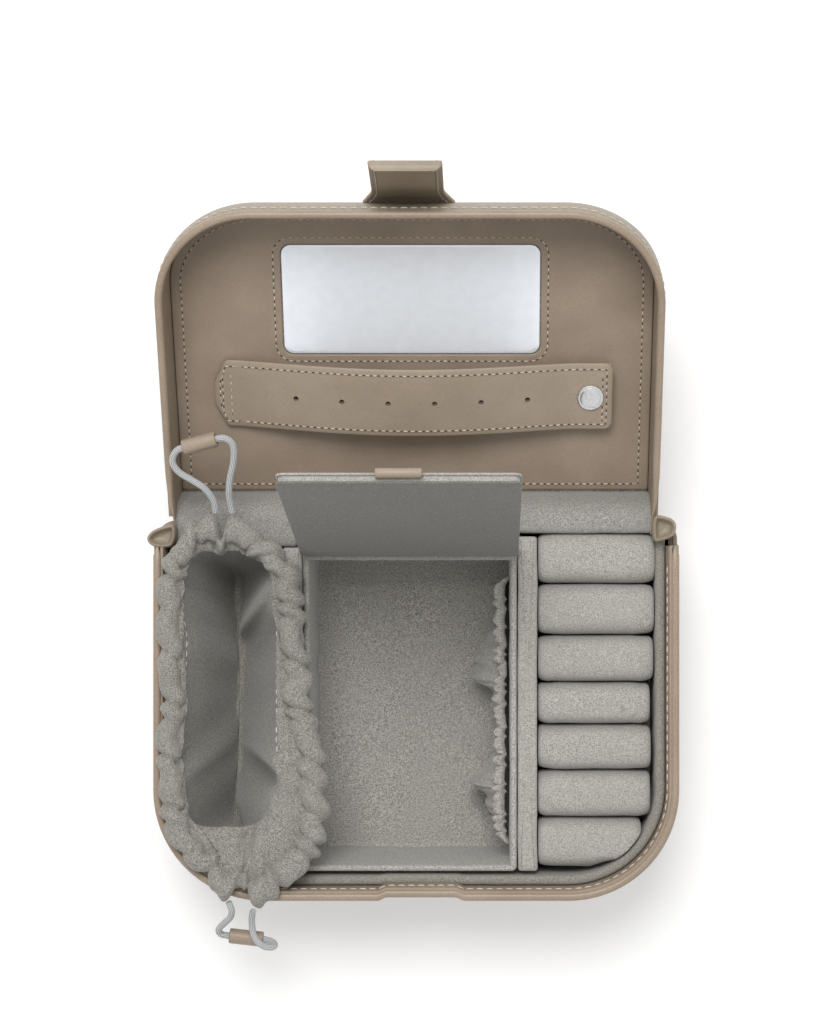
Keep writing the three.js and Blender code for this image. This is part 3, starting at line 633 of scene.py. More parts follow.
@dataclass(frozen=True)
class Finish:
    """A finish that each piece can wear. Its material is made once."""

    name: str
    dark: tuple[int, int, int]
    light: tuple[int, int, int]
    roughness: float
    slot: str = "leather"

    def material(self) -> bpy.types.Material:
        """The finish's material."""
        found = bpy.data.materials.get(self.name)
        if found:
            return found
        made, tree, shader = new_material(self.name)
        tree.put(shader, Roughness=self.roughness)
        self.dress(tree, shader)
        return made

    def between(self, tree: Tree, share: object) -> bpy.types.NodeSocket:
        """A colour between the finish's two colours."""
        return tree.mix(share, linear(self.dark), linear(self.light))

    def bump(self, tree: Tree, shader: bpy.types.Node, height: object, depth: float, strength: float) -> None:
        """Raises the surface by a height, of a depth in millimetres."""
        node = tree.add("ShaderNodeBump", Strength=strength, Distance=depth * MILLIMETRE, Height=height)
        tree.put(shader, Normal=node.outputs[0])

    def dress(self, tree: Tree, shader: bpy.types.Node) -> None:
        """Adds the finish's own nodes."""
        cloud = tree.noise(tree.place(), Scale=300.0, Detail=3.0)
        tree.put(shader, Base_Color=self.between(tree, tree.ramp(cloud, 0.3, 0.7)))

    def wear(self, piece: bpy.types.Object) -> bpy.types.Object:
        """Puts the finish on a piece."""
        piece.data.materials.clear()
        piece.data.materials.append(self.material())
        return piece


@dataclass(frozen=True)
class Leather(Finish):
    """Smooth calf leather with a fine grain."""

    cell: float = 1400.0
    depth: float = 0.05

    def dress(self, tree: Tree, shader: bpy.types.Node) -> None:
        """Grain for the bump, clouds for the colour, painted shade that darkens the creases, and a soft change of
        gloss.
        """
        grain = tree.add("ShaderNodeGroup", node_tree=Effect.GRAIN.group(), Cell=self.cell).outputs
        # painted shade: the creases are mixed toward a deeper copy of the dark colour
        shade = tuple(c * 0.72 for c in linear(self.dark)[:3]) + (1.0,)
        crease_shaded = tree.mix(tree.scaled(grain["Creases"], 0.35), self.between(tree, grain["Tone"]), shade)
        gloss = tree.scaled(grain["Tone"], 0.1, self.roughness - 0.05)
        tree.put(shader, Base_Color=crease_shaded, Roughness=gloss, Specular_IOR_Level=0.4)
        self.bump(tree, shader, grain["Height"], self.depth, 0.35)


@dataclass(frozen=True)
class Cloth(Finish):
    """Brushed suede cloth or a fine weave."""

    thread: float = 1500.0
    depth: float = 0.12
    sheen: float = 0.25
    slot: str = "suede"

    def dress(self, tree: Tree, shader: bpy.types.Node) -> None:
        """Threads for the bump and the fine colour, and clouds for the slow changes of the nap."""
        cloth = tree.add("ShaderNodeGroup", node_tree=Effect.CLOTH.group(), Thread=self.thread).outputs
        middle = tuple((a + b) / 2 * 0.93 for a, b in zip(linear(self.dark)[:3], linear(self.light)[:3])) + (1.0,)
        base = tree.mix(tree.scaled(cloth["Cloud"], 0.4), self.between(tree, cloth["Tone"]), middle)
        tree.put(shader, Base_Color=base, Sheen_Weight=self.sheen, Sheen_Roughness=0.5, Specular_IOR_Level=0.15)
        self.bump(tree, shader, cloth["Height"], self.depth, 0.6)


@dataclass(frozen=True)
class Metal(Finish):
    """Plated metal with fine brush marks."""

    slot: str = "snap_metal"

    def dress(self, tree: Tree, shader: bpy.types.Node) -> None:
        """Clouds in the gloss and a slight change of colour."""
        marks = tree.noise(tree.place(), Scale=1500.0, Detail=4.0)
        colour = self.between(tree, tree.ramp(marks, 0.3, 0.7))
        tree.put(shader, Base_Color=colour, Roughness=tree.scaled(marks, 0.14, self.roughness - 0.06), Metallic=1.0)


@dataclass(frozen=True)
class Glass(Finish):
    """Silvered glass: a bright even face, whose near-white colour paints the mirror's reflection of its bright
    surroundings, with a soft reflection over it.
    """

    silver: float = 0.3
    slot: str = "mirror"

    def dress(self, tree: Tree, shader: bpy.types.Node) -> None:
        """A faint slow change of tone, and a coat that reflects."""
        super().dress(tree, shader)
        tree.put(shader, Metallic=self.silver, Coat_Weight=0.5, Coat_Roughness=0.05)


@dataclass(frozen=True)
class Braid(Finish):
    """Ribbed elastic cord: its ribs run along the cord, by the piece's own UV map."""

    ribs: float = 12.0
    knots: float = 90.0
    slot: str = "cord"

    def dress(self, tree: Tree, shader: bpy.types.Node) -> None:
        """Ribs round the cord for bump, and for colour that darkens in the grooves as painted shade, crossed by short
        stitches.
        """
        place = tree.add("ShaderNodeUVMap", uv_map="UVMap").outputs["UV"]
        split = tree.add("ShaderNodeSeparateXYZ", Vector=place).outputs

        def wave(axis: str, turns: float, size: float, level: object) -> bpy.types.NodeSocket:
            """A sine along one axis, added to a level."""
            sine = tree.math("SINE", tree.scaled(split[axis], 2 * math.pi * turns))
            return tree.math("ADD", tree.scaled(sine, size), level)

        knot = wave("Y", self.knots, 0.12, wave("X", self.ribs, 0.5, 0.5))
        # painted shade: the colour follows the rib height, darker in the grooves
        tree.put(shader, Base_Color=self.between(tree, tree.ramp(knot, 0.0, 0.8)), Sheen_Weight=0.2)
        self.bump(tree, shader, knot, 0.15, 0.8)


LEATHER = Leather("smooth_leather", (143, 131, 114), (162, 150, 132), 0.5)
LEATHER_INNER = Leather("lining_leather", (142, 126, 110), (160, 144, 127), 0.48, cell=1700.0, depth=0.06)
LEATHER_LIGHT = Leather("strap_leather", (150, 135, 118), (164, 149, 132), 0.45, cell=1600.0, depth=0.04)
EDGE = Leather("painted_edge", (146, 129, 111), (162, 145, 127), 0.36, cell=900.0, depth=0.02, slot="edge_paint")
SUEDE = Cloth("brushed_suede", (134, 131, 125), (192, 189, 183), 0.95, thread=3400.0, depth=0.12)
# painted shade: a darker copy of the suede for the tray edge, which lies in the shade of the rim's lip
SHADED_TRAY_SUEDE = Cloth("tray_suede_painted_shade", (116, 112, 104), (166, 162, 154), 0.95, thread=3400.0, depth=0.12)
WEAVE = Cloth("fine_weave", (124, 121, 115), (204, 201, 195), 0.92, thread=3000.0, depth=0.15, slot="weave")
# painted shade: a darker copy of the weave, with finer threads, for the lining in the hinge's valley
SHADED_HINGE_WEAVE = Cloth("hinge_weave_painted_shade", (118, 115, 110), (176, 174, 169), 0.92, thread=3600.0, depth=0.07, slot="weave")
# painted shade: a darker copy of the weave for the flap's lining, which faces away from the lamp
SHADED_FLAP_WEAVE = Cloth("flap_weave_painted_shade", (92, 90, 86), (140, 137, 132), 0.92, thread=3200.0, depth=0.1, slot="weave")
POUCH_CLOTH = Cloth("pouch_cloth", (104, 101, 95), (172, 169, 161), 0.95, thread=3000.0, depth=0.15)
BOARD = Finish("stiffener_board", (126, 116, 104), (146, 136, 123), 0.9)
THREAD = Finish("waxed_thread", (186, 176, 162), (210, 201, 188), 0.55)
THREAD_DARK = Finish("tone_thread", (178, 166, 150), (206, 195, 180), 0.6)
# painted shade: the dark colour of the flat needle-hole marks
NEEDLE_HOLE_SHADE = Finish("needle_hole_painted_shade", (74, 65, 54), (90, 80, 68), 0.9)
# painted reflection: the near-white base colour stands in for what the mirror reflects
MIRROR = Glass("silvered_glass", (236, 240, 246), (240, 244, 250), 0.3)
STEEL = Metal("plated_snap", (196, 196, 196), (216, 216, 216), 0.28)
MAGNET = Metal("magnet_metal", (88, 90, 94), (104, 106, 110), 0.4, slot="magnet")
CORD = Braid("elastic_cord", (122, 124, 126), (206, 208, 208), 0.8)

NODE_FINISHES: dict[str, Finish] = {
    "leather": LEATHER, "edge_paint": EDGE, "suede": SUEDE, "weave": WEAVE, "board": BOARD,
    "mirror": MIRROR, "snap_metal": STEEL, "magnet": MAGNET, "cord": CORD,
}


def dress_nodes() -> None:
    """Gives every CAD node the finish of its material slot."""
    for entry in FRAME["record"]["subparts"]:
        NODE_FINISHES[entry["material_slot"]].wear(FRAME["nodes"][entry["node"]])


@dataclass(frozen=True)
class Bend:
    """The two bodies and the stretch between them, in millimetres, over which a soft piece would turn from following
    one to the other; only stored.
    """

    first: str
    second: str
    start: Sequence[float]
    end: Sequence[float]

    def hold(self, piece: bpy.types.Object) -> None:
        """Bakes the piece's transform into its mesh, without bending it."""
        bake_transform(piece)


def finish_piece(
    piece: bpy.types.Object, finish: Finish, body: str | Bend, *nodes: str, slot: str | None = None
) -> bpy.types.Object:
    """Dresses a piece, lets it follow a body unless it has a bend, and hides the CAD nodes that it stands for.

    Args:
        piece: The new piece.
        finish: Its finish.
        body: The body that it moves with, or a bend between two, which only bakes its transform.
        nodes: The CAD nodes that it replaces.
        slot: The record's material slot, if it isn't the finish's own; not used.

    Returns:
        The piece.
    """
    finish.wear(piece)
    if isinstance(body, Bend):
        body.hold(piece)
    else:
        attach(piece, body)
    if nodes:
        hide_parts(*nodes)
    LOG.info("%s rides on %s, %d faces", piece.name, body, len(piece.data.polygons))
    return piece


def make_piece(
    name: str, grid: Points, finish: Finish, body: str | Bend, *nodes: str,
    place: Plane = LEVEL, sharp: float = 40.0, weld: float = 0.01, slot: str | None = None,
) -> bpy.types.Object:
    """Builds one grid, closed at its ends, as a finished piece.

    Args:
        name: The piece's name.
        grid: Its points, in the flat place.
        finish: Its finish.
        body: The body that it moves with, or a bend between two, which only bakes its transform.
        nodes: The CAD nodes that it replaces.
        place: Where the flat grid is placed.
        sharp: Edges that turn by more than this many degrees stay sharp.
        weld: Points closer than this are merged, in millimetres.
        slot: The record's material slot, if it isn't the finish's own.

    Returns:
        The piece.
    """
    return finish_piece(Shell(name).grid(place.place(grid)).build(sharp, weld), finish, body, *nodes, slot=slot)


@dataclass(frozen=True)
class Seam:
    """A row of stitches: short bent threads along a line, each sunk at its ends."""

    pitch: float
    length: float
    width: float
    rise: float
    shift: float = 0.5

    def holes(self) -> "Seam":
        """The needle holes: flat marks half a stitch further on, a little wider than the thread, that paint the shade
        in each hole.
        """
        return replace(self, length=self.pitch - self.length + 0.3, width=self.width * 1.1, rise=0.07, shift=0.0)

    def threads(self, line: Points, up: Points) -> Points:
        """Works out every stitch at once.

        A stitch is a tube round a short stretch of the line. Its radius follows the square root of one less the fourth
        power of the share of its half length, and it sinks by the square of that share toward its ends.

        Args:
            line: The seam's line in millimetres.
            up: The outward direction, one for the seam or one for each point of the line.

        Returns:
            An array of stitches, rings, sides and three coordinates.
        """
        at = run_length(line)
        count = max(int(at[-1] / self.pitch), 1)
        middle = (np.arange(count) + self.shift) * at[-1] / count
        share = np.array([-1.0, -0.8, 0.0, 0.8, 1.0])
        where = middle[:, None] + share * self.length / 2
        centre = read_line(where, at, line)
        normal = read_line(where, at, np.broadcast_to(np.asarray(up, float), line.shape))
        along = unit(centre[:, -1:] - centre[:, :1])
        side = unit(np.cross(np.broadcast_to(along, normal.shape), normal))
        radius = np.sqrt(np.maximum(1 - share**4, 0.04))
        angle = np.radians(np.arange(6) * 60.0)
        ring = radius[:, None] * np.cos(angle), radius[:, None] * np.sin(angle)
        lift = self.rise * (0.35 - 0.9 * share**2)
        return (
            centre[:, :, None]
            + side[:, :, None] * (ring[0] * self.width / 2)[None, :, :, None]
            + normal[:, :, None] * (ring[1] * self.rise + lift[:, None])[None, :, :, None]
        )


FINE_SEAM = Seam(pitch=2.3, length=1.5, width=0.46, rise=0.3)
UP = np.array([0.0, 0.0, 1.0])


def sew(
    name: str, rows: Sequence[Stretch], body: str | Bend, seam: Seam, place: Plane = LEVEL, finish: Finish = THREAD
) -> bpy.types.Object:
    """Builds rows of stitches as one piece.

    Args:
        name: The piece's name.
        rows: Lines with their outward directions.
        body: The body that they move with.
        seam: The stitches' sizes.
        place: Where the flat rows are placed.
        finish: The thread.

    Returns:
        The piece.
    """
    shell, holes = Shell(name), Shell(f"{name}_holes")
    for line, up in rows:
        for target, stitch in ((shell, seam), (holes, seam.holes())):
            for tube in place.place(stitch.threads(line, up)):
                target.grid(tube)
    # the needle-hole marks paint the shade in the holes, for tone-thread seams only
    if finish is not THREAD:
        finish_piece(holes.build(60.0, 0.001), NEEDLE_HOLE_SHADE, body, slot="leather")
    return finish_piece(shell.build(60.0, 0.001), finish, body, slot="leather")


# Camera and light


@dataclass
class Studio:
    """The camera, the pale floor and the soft lights."""

    eye: tuple[float, float, float] = (0.0233, 0.0637, 0.805)
    lens: float = 84.2
    frame_shift: float = -0.0688
    key_power: float = 8.6
    key_place: tuple[float, float, float] = (-0.07, 0.5, 1.08)
    key_size: float = 0.55
    key_aim: tuple[float, float, float] = (0.0, 0.03, 0.03)
    sky: float = 0.66
    floor_reach: float = 3.0

    def camera(self) -> None:
        """Looks straight down with +Y up. The shift puts the lens's centre where the photograph has it."""
        data = bpy.data.cameras.new("camera")
        data.lens = self.lens
        data.sensor_width = 36.0
        data.shift_x = self.frame_shift
        data.clip_start = 0.01
        item = bpy.data.objects.new("camera", data)
        item.location = self.eye
        bpy.context.scene.collection.objects.link(item)
        bpy.context.scene.camera = item

    def lights(self) -> None:
        """One large soft lamp beyond the lid, and an even sky that the camera sees as white."""
        data = bpy.data.lights.new("key", "AREA")
        data.shape = "DISK"
        data.size = self.key_size
        data.energy = self.key_power
        lamp = bpy.data.objects.new("key", data)
        lamp.location = self.key_place
        aim = unit(np.array(self.key_aim) - np.array(self.key_place))
        lamp.rotation_euler = (math.acos(-aim[2]), 0.0, math.atan2(-aim[0], aim[1]))
        bpy.context.scene.collection.objects.link(lamp)
        world = bpy.data.worlds.new("sky")
        bpy.context.scene.world = world
        world.use_nodes = True
        tree = Tree(world.node_tree)
        strength = tree.scaled(tree.seen_straight(), 1 - self.sky, self.sky)
        tree.put(world.node_tree.nodes["Background"], Strength=strength, Color=WHITE)

    def floor(self) -> None:
        """A pale floor under the case, a little brighter to the camera than to the case."""
        mesh = bpy.data.meshes.new("floor")
        r = self.floor_reach
        mesh.from_pydata([(-r, -r, 0), (r, -r, 0), (r, r, 0), (-r, r, 0)], [], [(0, 1, 2, 3)])
        item = bpy.data.objects.new("floor", mesh)
        bpy.context.scene.collection.objects.link(item)
        made, tree, shader = new_material("pale_floor")
        tree.put(shader, Base_Color=(0.86, 0.86, 0.86, 1.0), Roughness=0.9, Specular_IOR_Level=0.0)
        tree.put(shader, Emission_Color=WHITE, Emission_Strength=tree.scaled(tree.seen_straight(), 0.2))
        mesh.materials.append(made)

    def make(self) -> None:
        """Adds all three and sets the view transform."""
        bpy.context.scene.view_settings.view_transform = "Standard"
        self.camera()
        self.lights()
        self.floor()


# Drawcords


def frames_along(line: Points) -> tuple[Points, Points, Points]:
    """Directions along a line and two across it that turn as little as they can.

    Args:
        line: The line's points.

    Returns:
        The tangents and two directions square to them.
    """
    tangent = unit(np.gradient(line, axis=0))
    sides = [unit(np.cross(tangent[0], [0.0, 0.0, 1.0]))]
    for t in tangent[1:]:
        sides.append(unit(sides[-1] - t * np.dot(sides[-1], t)))
    side = np.array(sides)
    return tangent, side, np.cross(tangent, side)


def tube_points(line: Points, radius: Points, sides: int) -> Points:
    """A tube round a line: each ring is a circle in the plane square to the line.

    Args:
        line: The centreline.
        radius: The radius at each point.
        sides: Points in a ring.

    Returns:
        The grid.
    """
    _, side, up = frames_along(line)
    angle = full_turn(sides)
    ring = side[:, None] * np.cos(angle)[None, :, None] + up[:, None] * np.sin(angle)[None, :, None]
    return line[:, None] + ring * np.broadcast_to(radius, len(line))[:, None, None]


class End(Enum):
    """Which end of the pouch a drawcord leaves from."""

    BACK = "back"
    FRONT = "front"


BACK_ROUTE = np.array([
    [-62.9, 62.85, 57.4], [-63.3, 66.4, 59.9], [-65.8, 70.2, 63], [-69.8, 72.9, 64.4], [-73, 74.9, 65.4],
    [-74.8, 77.2, 66.5], [-75, 79.4, 67.5], [-73.9, 81.4, 68.5], [-72, 82.5, 69.1], [-66.4, 84, 69.8],
    [-60.8, 85.4, 70.4], [-58.4, 85.4, 70.4], [-56.6, 84.2, 69.8], [-55.9, 82, 68.8], [-56.3, 78, 66.8],
    [-57.5, 73.6, 64.6], [-58.2, 69, 61.9], [-58.1, 66, 59.6], [-57.7, 62.85, 57.4],
])
FRONT_ROUTE = np.array([
    [-58.8, -59.7, 57.4], [-57.9, -62.5, 56.6], [-58.6, -65, 54.6], [-60.6, -67.1, 52.6], [-62.2, -68.8, 50.8],
    [-62.8, -70.2, 49.4], [-62.2, -71.3, 48.6], [-60.4, -71.8, 48.3], [-54.2, -72.5, 48.2], [-48, -73.2, 48.2],
    [-45.8, -73.9, 48.6], [-45, -74.6, 49.8], [-45.8, -75, 51.2], [-48, -74.6, 52.2], [-50.2, -73, 52.5],
    [-51.4, -70.8, 52.6], [-51.8, -68.4, 53.1], [-51.8, -65.6, 54.6], [-51.4, -63.4, 56.4], [-51, -62.6, 57.3],
])


@dataclass
class Drawcord:
    """An elastic cord loop with a rolled leather toggle on it."""

    end: End
    route: Points
    middle: int
    diameter: float = 2.1
    toggle_diameter: float = 4.8
    toggle_length: float = 10.8
    sides: int = 16
    bore: float = 1.25
    lip: float = 0.45
    lap: float = 0.28

    def cord(self) -> bpy.types.Object:
        """The ribbed cord, with a UV map that runs round and along it."""
        line, end = open_curve(self.route, 120), self.end.value
        grid = tube_points(line, np.full(len(line), self.diameter / 2), self.sides)
        piece = Shell(f"{end}_elastic_cord").grid(grid).build(60.0, 0.0001)
        self.unwrap(piece, len(grid))
        bend = Bend(f"{end}_pull", f"{end}_toggle", line[0], self.route[self.middle])
        finish_piece(piece, CORD, bend, f"{end}_drawcord")
        self.toggle()
        return piece

    def unwrap(self, piece: bpy.types.Object, rings: int) -> None:
        """Writes U round the cord and V along it, from the numbers of the points in its rings."""
        mesh = piece.data
        layer = mesh.uv_layers.new(name="UVMap")
        loops = np.empty(len(mesh.loops), int)
        mesh.loops.foreach_get("vertex_index", loops)
        around = loops % self.sides
        starts = np.repeat(np.arange(len(mesh.polygons)), [p.loop_total for p in mesh.polygons])
        wrap = np.zeros(len(mesh.polygons), bool)
        np.logical_or.at(wrap, starts, around == self.sides - 1)
        turned = np.where(wrap[starts] & (around == 0), self.sides, around)
        uv = np.stack([turned / self.sides, (loops // self.sides) / rings], axis=-1)
        layer.data.foreach_set("uv", uv.astype(np.float32).ravel())

    def toggle(self) -> bpy.types.Object:
        """The toggle: a leather strip rolled once round, whose outer end overlaps as a small step.

        Rows are (radius, place along) pairs from the bore's end over the rounded lips to the other end, and the radius
        grows by a tenth of a millimetre with each part of a turn, which gives the lap.
        """
        along = unit(self.route[self.middle + 1] - self.route[self.middle - 1])
        side = unit(np.cross(along, [0.0, 0.0, 1.0]))
        up = np.cross(side, along)
        half, outer = self.toggle_length / 2, self.toggle_diameter / 2
        section = soft_section(self.bore, outer, -half, half, self.lip, 5)
        turn = full_turn(40)
        lap = self.lap * (turn / (2 * np.pi)) - self.lap / 2
        radius = section[:, :1] + lap[None, :] * (section[:, :1] > (self.bore + outer) / 2)
        across = radius[..., None] * (np.cos(turn)[None, :, None] * side + np.sin(turn)[None, :, None] * up)
        grid = self.route[self.middle] + across + section[:, 1][:, None, None] * along
        shell = Shell(f"{self.end.value}_rolled_toggle").grid(grid, wrap_rows=True, caps=False)
        name = f"{self.end.value}_toggle"
        return finish_piece(shell.build(50.0, 0.001), LEATHER_LIGHT, name, name)


# Base shell


@dataclass
class CaseLine:
    """The outline of the base: rounded front corners, and a shallow seat for the tab in the front."""

    half_width: float = 83.0
    half_depth: float = 60.0
    front_radius: float = 35.0
    back_radius: float = 6.0
    side_end: float = 52.0
    seat_width: float = 27.5
    seat_depth: float = 1.1
    seat_ease: float = 3.0
    seat_offset: float = 1.5

    def front(self) -> tuple[Points, Points]:
        """The front stretch. Its seat steps in along a smooth ramp at each side."""
        x = np.linspace(-self.half_width + self.front_radius, self.half_width - self.front_radius, 97)[1:-1]
        ramp = (self.seat_width / 2 - np.abs(x - self.seat_offset)) / self.seat_ease
        at = np.stack([x, -self.half_depth + self.seat_depth * smoothstep(ramp)], axis=-1)
        return at, np.broadcast_to([0.0, 1.0], at.shape)

    def open(self) -> Plan:
        """Down the left side, along the front and up the right side."""
        x, y, r = self.half_width, self.half_depth, self.front_radius
        return joined([
            side_point(-x, self.side_end),
            straight((-x, self.side_end), (-x, -y + r), (1, 0)),
            arc_points(-x + r, -y + r, r, 180, 270, 33),
            self.front(),
            arc_points(x - r, -y + r, r, -90, 0, 33),
            straight((x, -y + r), (x, self.side_end), (-1, 0)),
            side_point(x, self.side_end),
        ])

    def closed(self) -> Plan:
        """The whole outline, with the small back corners."""
        x, y, r = self.half_width, self.half_depth, self.back_radius
        line = self.open()
        return joined([
            (line.at, line.inward),
            side_point(x, self.side_end + 0.6),
            arc_points(x - r, y - r, r, 0, 90, 9),
            straight((x - r, y), (-x + r, y), (0, -1), 4.0),
            arc_points(-x + r, y - r, r, 90, 180, 9),
            side_point(-x, self.side_end + 0.6),
        ])


CASE = CaseLine()


@dataclass
class BaseShell:
    """The outer leather, the painted rim and the stitched facing inside it."""

    wall_top: float = 51.7
    back_top: float = 45.0
    leather: float = 1.2
    foot_radius: float = 2.6
    rim_top: float = 54.0
    rim_width: float = 2.5
    facing_inset: float = 3.0
    facing_thickness: float = 0.85
    facing_drop: float = 14.0
    belly: float = 0.35
    under: float = 6.0

    def wall(self) -> bpy.types.Object:
        """The outer wall: a closed section carried round the case, whose top is lower along the back.

        The outer face turns under at the foot by a quarter circle, and a slight belly stands proud at half height.
        """
        plan = CASE.closed()
        turn = np.radians(np.linspace(0, 90, 7))
        foot = np.stack([self.foot_radius * (1 - np.sin(turn)), self.foot_radius * (1 - np.cos(turn))], axis=-1)
        height = np.linspace(0.12, 1.0, 9)
        rise = self.foot_radius + (self.wall_top - self.foot_radius) * height
        outer = np.stack([-self.belly * np.sin(np.pi * height), rise], axis=-1)
        inner = np.stack([np.full(6, self.leather), np.linspace(self.wall_top, self.leather, 6)], axis=-1)
        section = np.concatenate([[[self.under, 0.05]], foot, outer, inner, [[self.under, self.leather]]])
        grid = plan.sweep(section)
        back = smoothstep((plan.at[:, 1] - CASE.side_end) / 0.6)[:, None]
        grid[..., 2] *= 1 - back * (1 - self.back_top / self.wall_top) * (grid[..., 2] > self.foot_radius)
        shell = Shell("base_outer_leather").grid(grid, wrap_rows=True)
        return finish_piece(shell.build(), LEATHER, "base", "base_leather_wall")

    def sole(self) -> bpy.types.Object:
        """The leather under the case: a plate with rounded edges, inset where the wall turns under it."""
        plan = CASE.closed()
        grid = slab(Plan(plan.inset(self.foot_radius - 0.6), plan.inward), -0.15, 1.0, 0.45)
        return make_piece("sole_leather", grid, LEATHER, "base", "bottom_leather_panel")

    def rim(self) -> bpy.types.Object:
        """The painted rim: a rounded bead whose ends close like a fingertip."""
        plan = CASE.open()
        section = soft_section(-0.1, self.rim_width, self.wall_top - 0.3, self.rim_top, 1.15, 7)
        grid = plan.sweep(section)
        along = run_length(plan.at)
        size = quarter_round(np.minimum(along, along[-1] - along) / 1.6)[:, None, None]
        centre = grid.mean(axis=1, keepdims=True)
        grid = centre + (grid - centre) * np.maximum(size, 0.25)
        return make_piece("painted_rim", grid, EDGE, "base", "base_rim_roll")

    def facing(self) -> bpy.types.Object:
        """The leather facing inside the rim: it slopes from the rim's inner edge down behind the tray."""
        outer, foot = self.facing_inset, self.rim_top - self.facing_drop
        inner = outer + self.facing_thickness
        section = np.array([
            [self.rim_width - 0.25, 53.35], [3.0, 53.3], [3.35, 52.7], [inner - 0.25, 51.4], [inner - 0.05, 50.2],
            [inner, 48.6], [inner, 47.0], [inner, foot], [outer, foot], [outer, 50.0], [2.45, 51.6],
        ])
        return make_piece("rim_facing", CASE.open().sweep(section), LEATHER_INNER, "base", "base_lip_facing")

    def stitches(self) -> bpy.types.Object:
        """The seam that holds the facing, just under the rim."""
        plan = CASE.open()
        line, up = raised(plan.inset(3.62), 52.05)[2:-2], raised(plan.inward * 0.75, 0.66)[2:-2]
        return sew("facing_stitches", [(line, up)], "base", Seam(pitch=3.1, length=2.3, width=0.4, rise=0.2))

    def make(self) -> None:
        """Builds the shell's pieces."""
        self.wall()
        self.sole()
        self.rim()
        self.facing()
        self.stitches()


@dataclass
class Tray:
    """The suede tray edge and its two dividers."""

    inset: float = 4.05
    inner: float = 7.05
    floor: float = 4.2
    top: float = 48.0
    divider: float = 6.2
    left_divider: float = -42.7
    right_divider: float = 32.1
    front: float = -51.55
    back: float = 56.2

    def wall(self) -> bpy.types.Object:
        """The padded tray edge, a rounded section carried along the sides and front, with slow swells in its height."""
        plan = replace(CASE, side_end=self.back, seat_depth=0.35).open()
        section = soft_section(self.inset, self.inner, self.floor, self.top, 1.25, 6)
        grid = plan.sweep(section)
        share = np.linspace(0, 1, len(plan.at))
        grid[..., 2] += (0.16 * ripple(share * 6, 3))[:, None] * (grid[..., 2] > self.top - 3) - 0.1
        # the darker suede paints the shade under the lip
        return make_piece("padded_tray_edge", grid, SHADED_TRAY_SUEDE, "base", "tray_wall")

    def divider_bar(self, name: str, x0: float, back: float, node: str) -> bpy.types.Object:
        """A board covered in suede: a rounded plan with a soft top, slightly uneven along its length."""
        plan = rounded_plan(x0, x0 + self.divider, self.front, back, 1.0, 3.0, 5)
        grid = slab(plan, self.floor, self.top, 1.1, 5)
        grid[..., 0] += 0.12 * ripple(grid[..., 1] / 90, 5) * (grid[..., 2] - self.floor) / self.top
        return make_piece(name, grid, SUEDE, "base", node)

    def make(self) -> None:
        """Builds the tray's pieces."""
        self.wall()
        self.divider_bar("left_partition", self.left_divider, 51.4, "left_divider")
        self.divider_bar("right_partition", self.right_divider, 54.9, "right_divider")


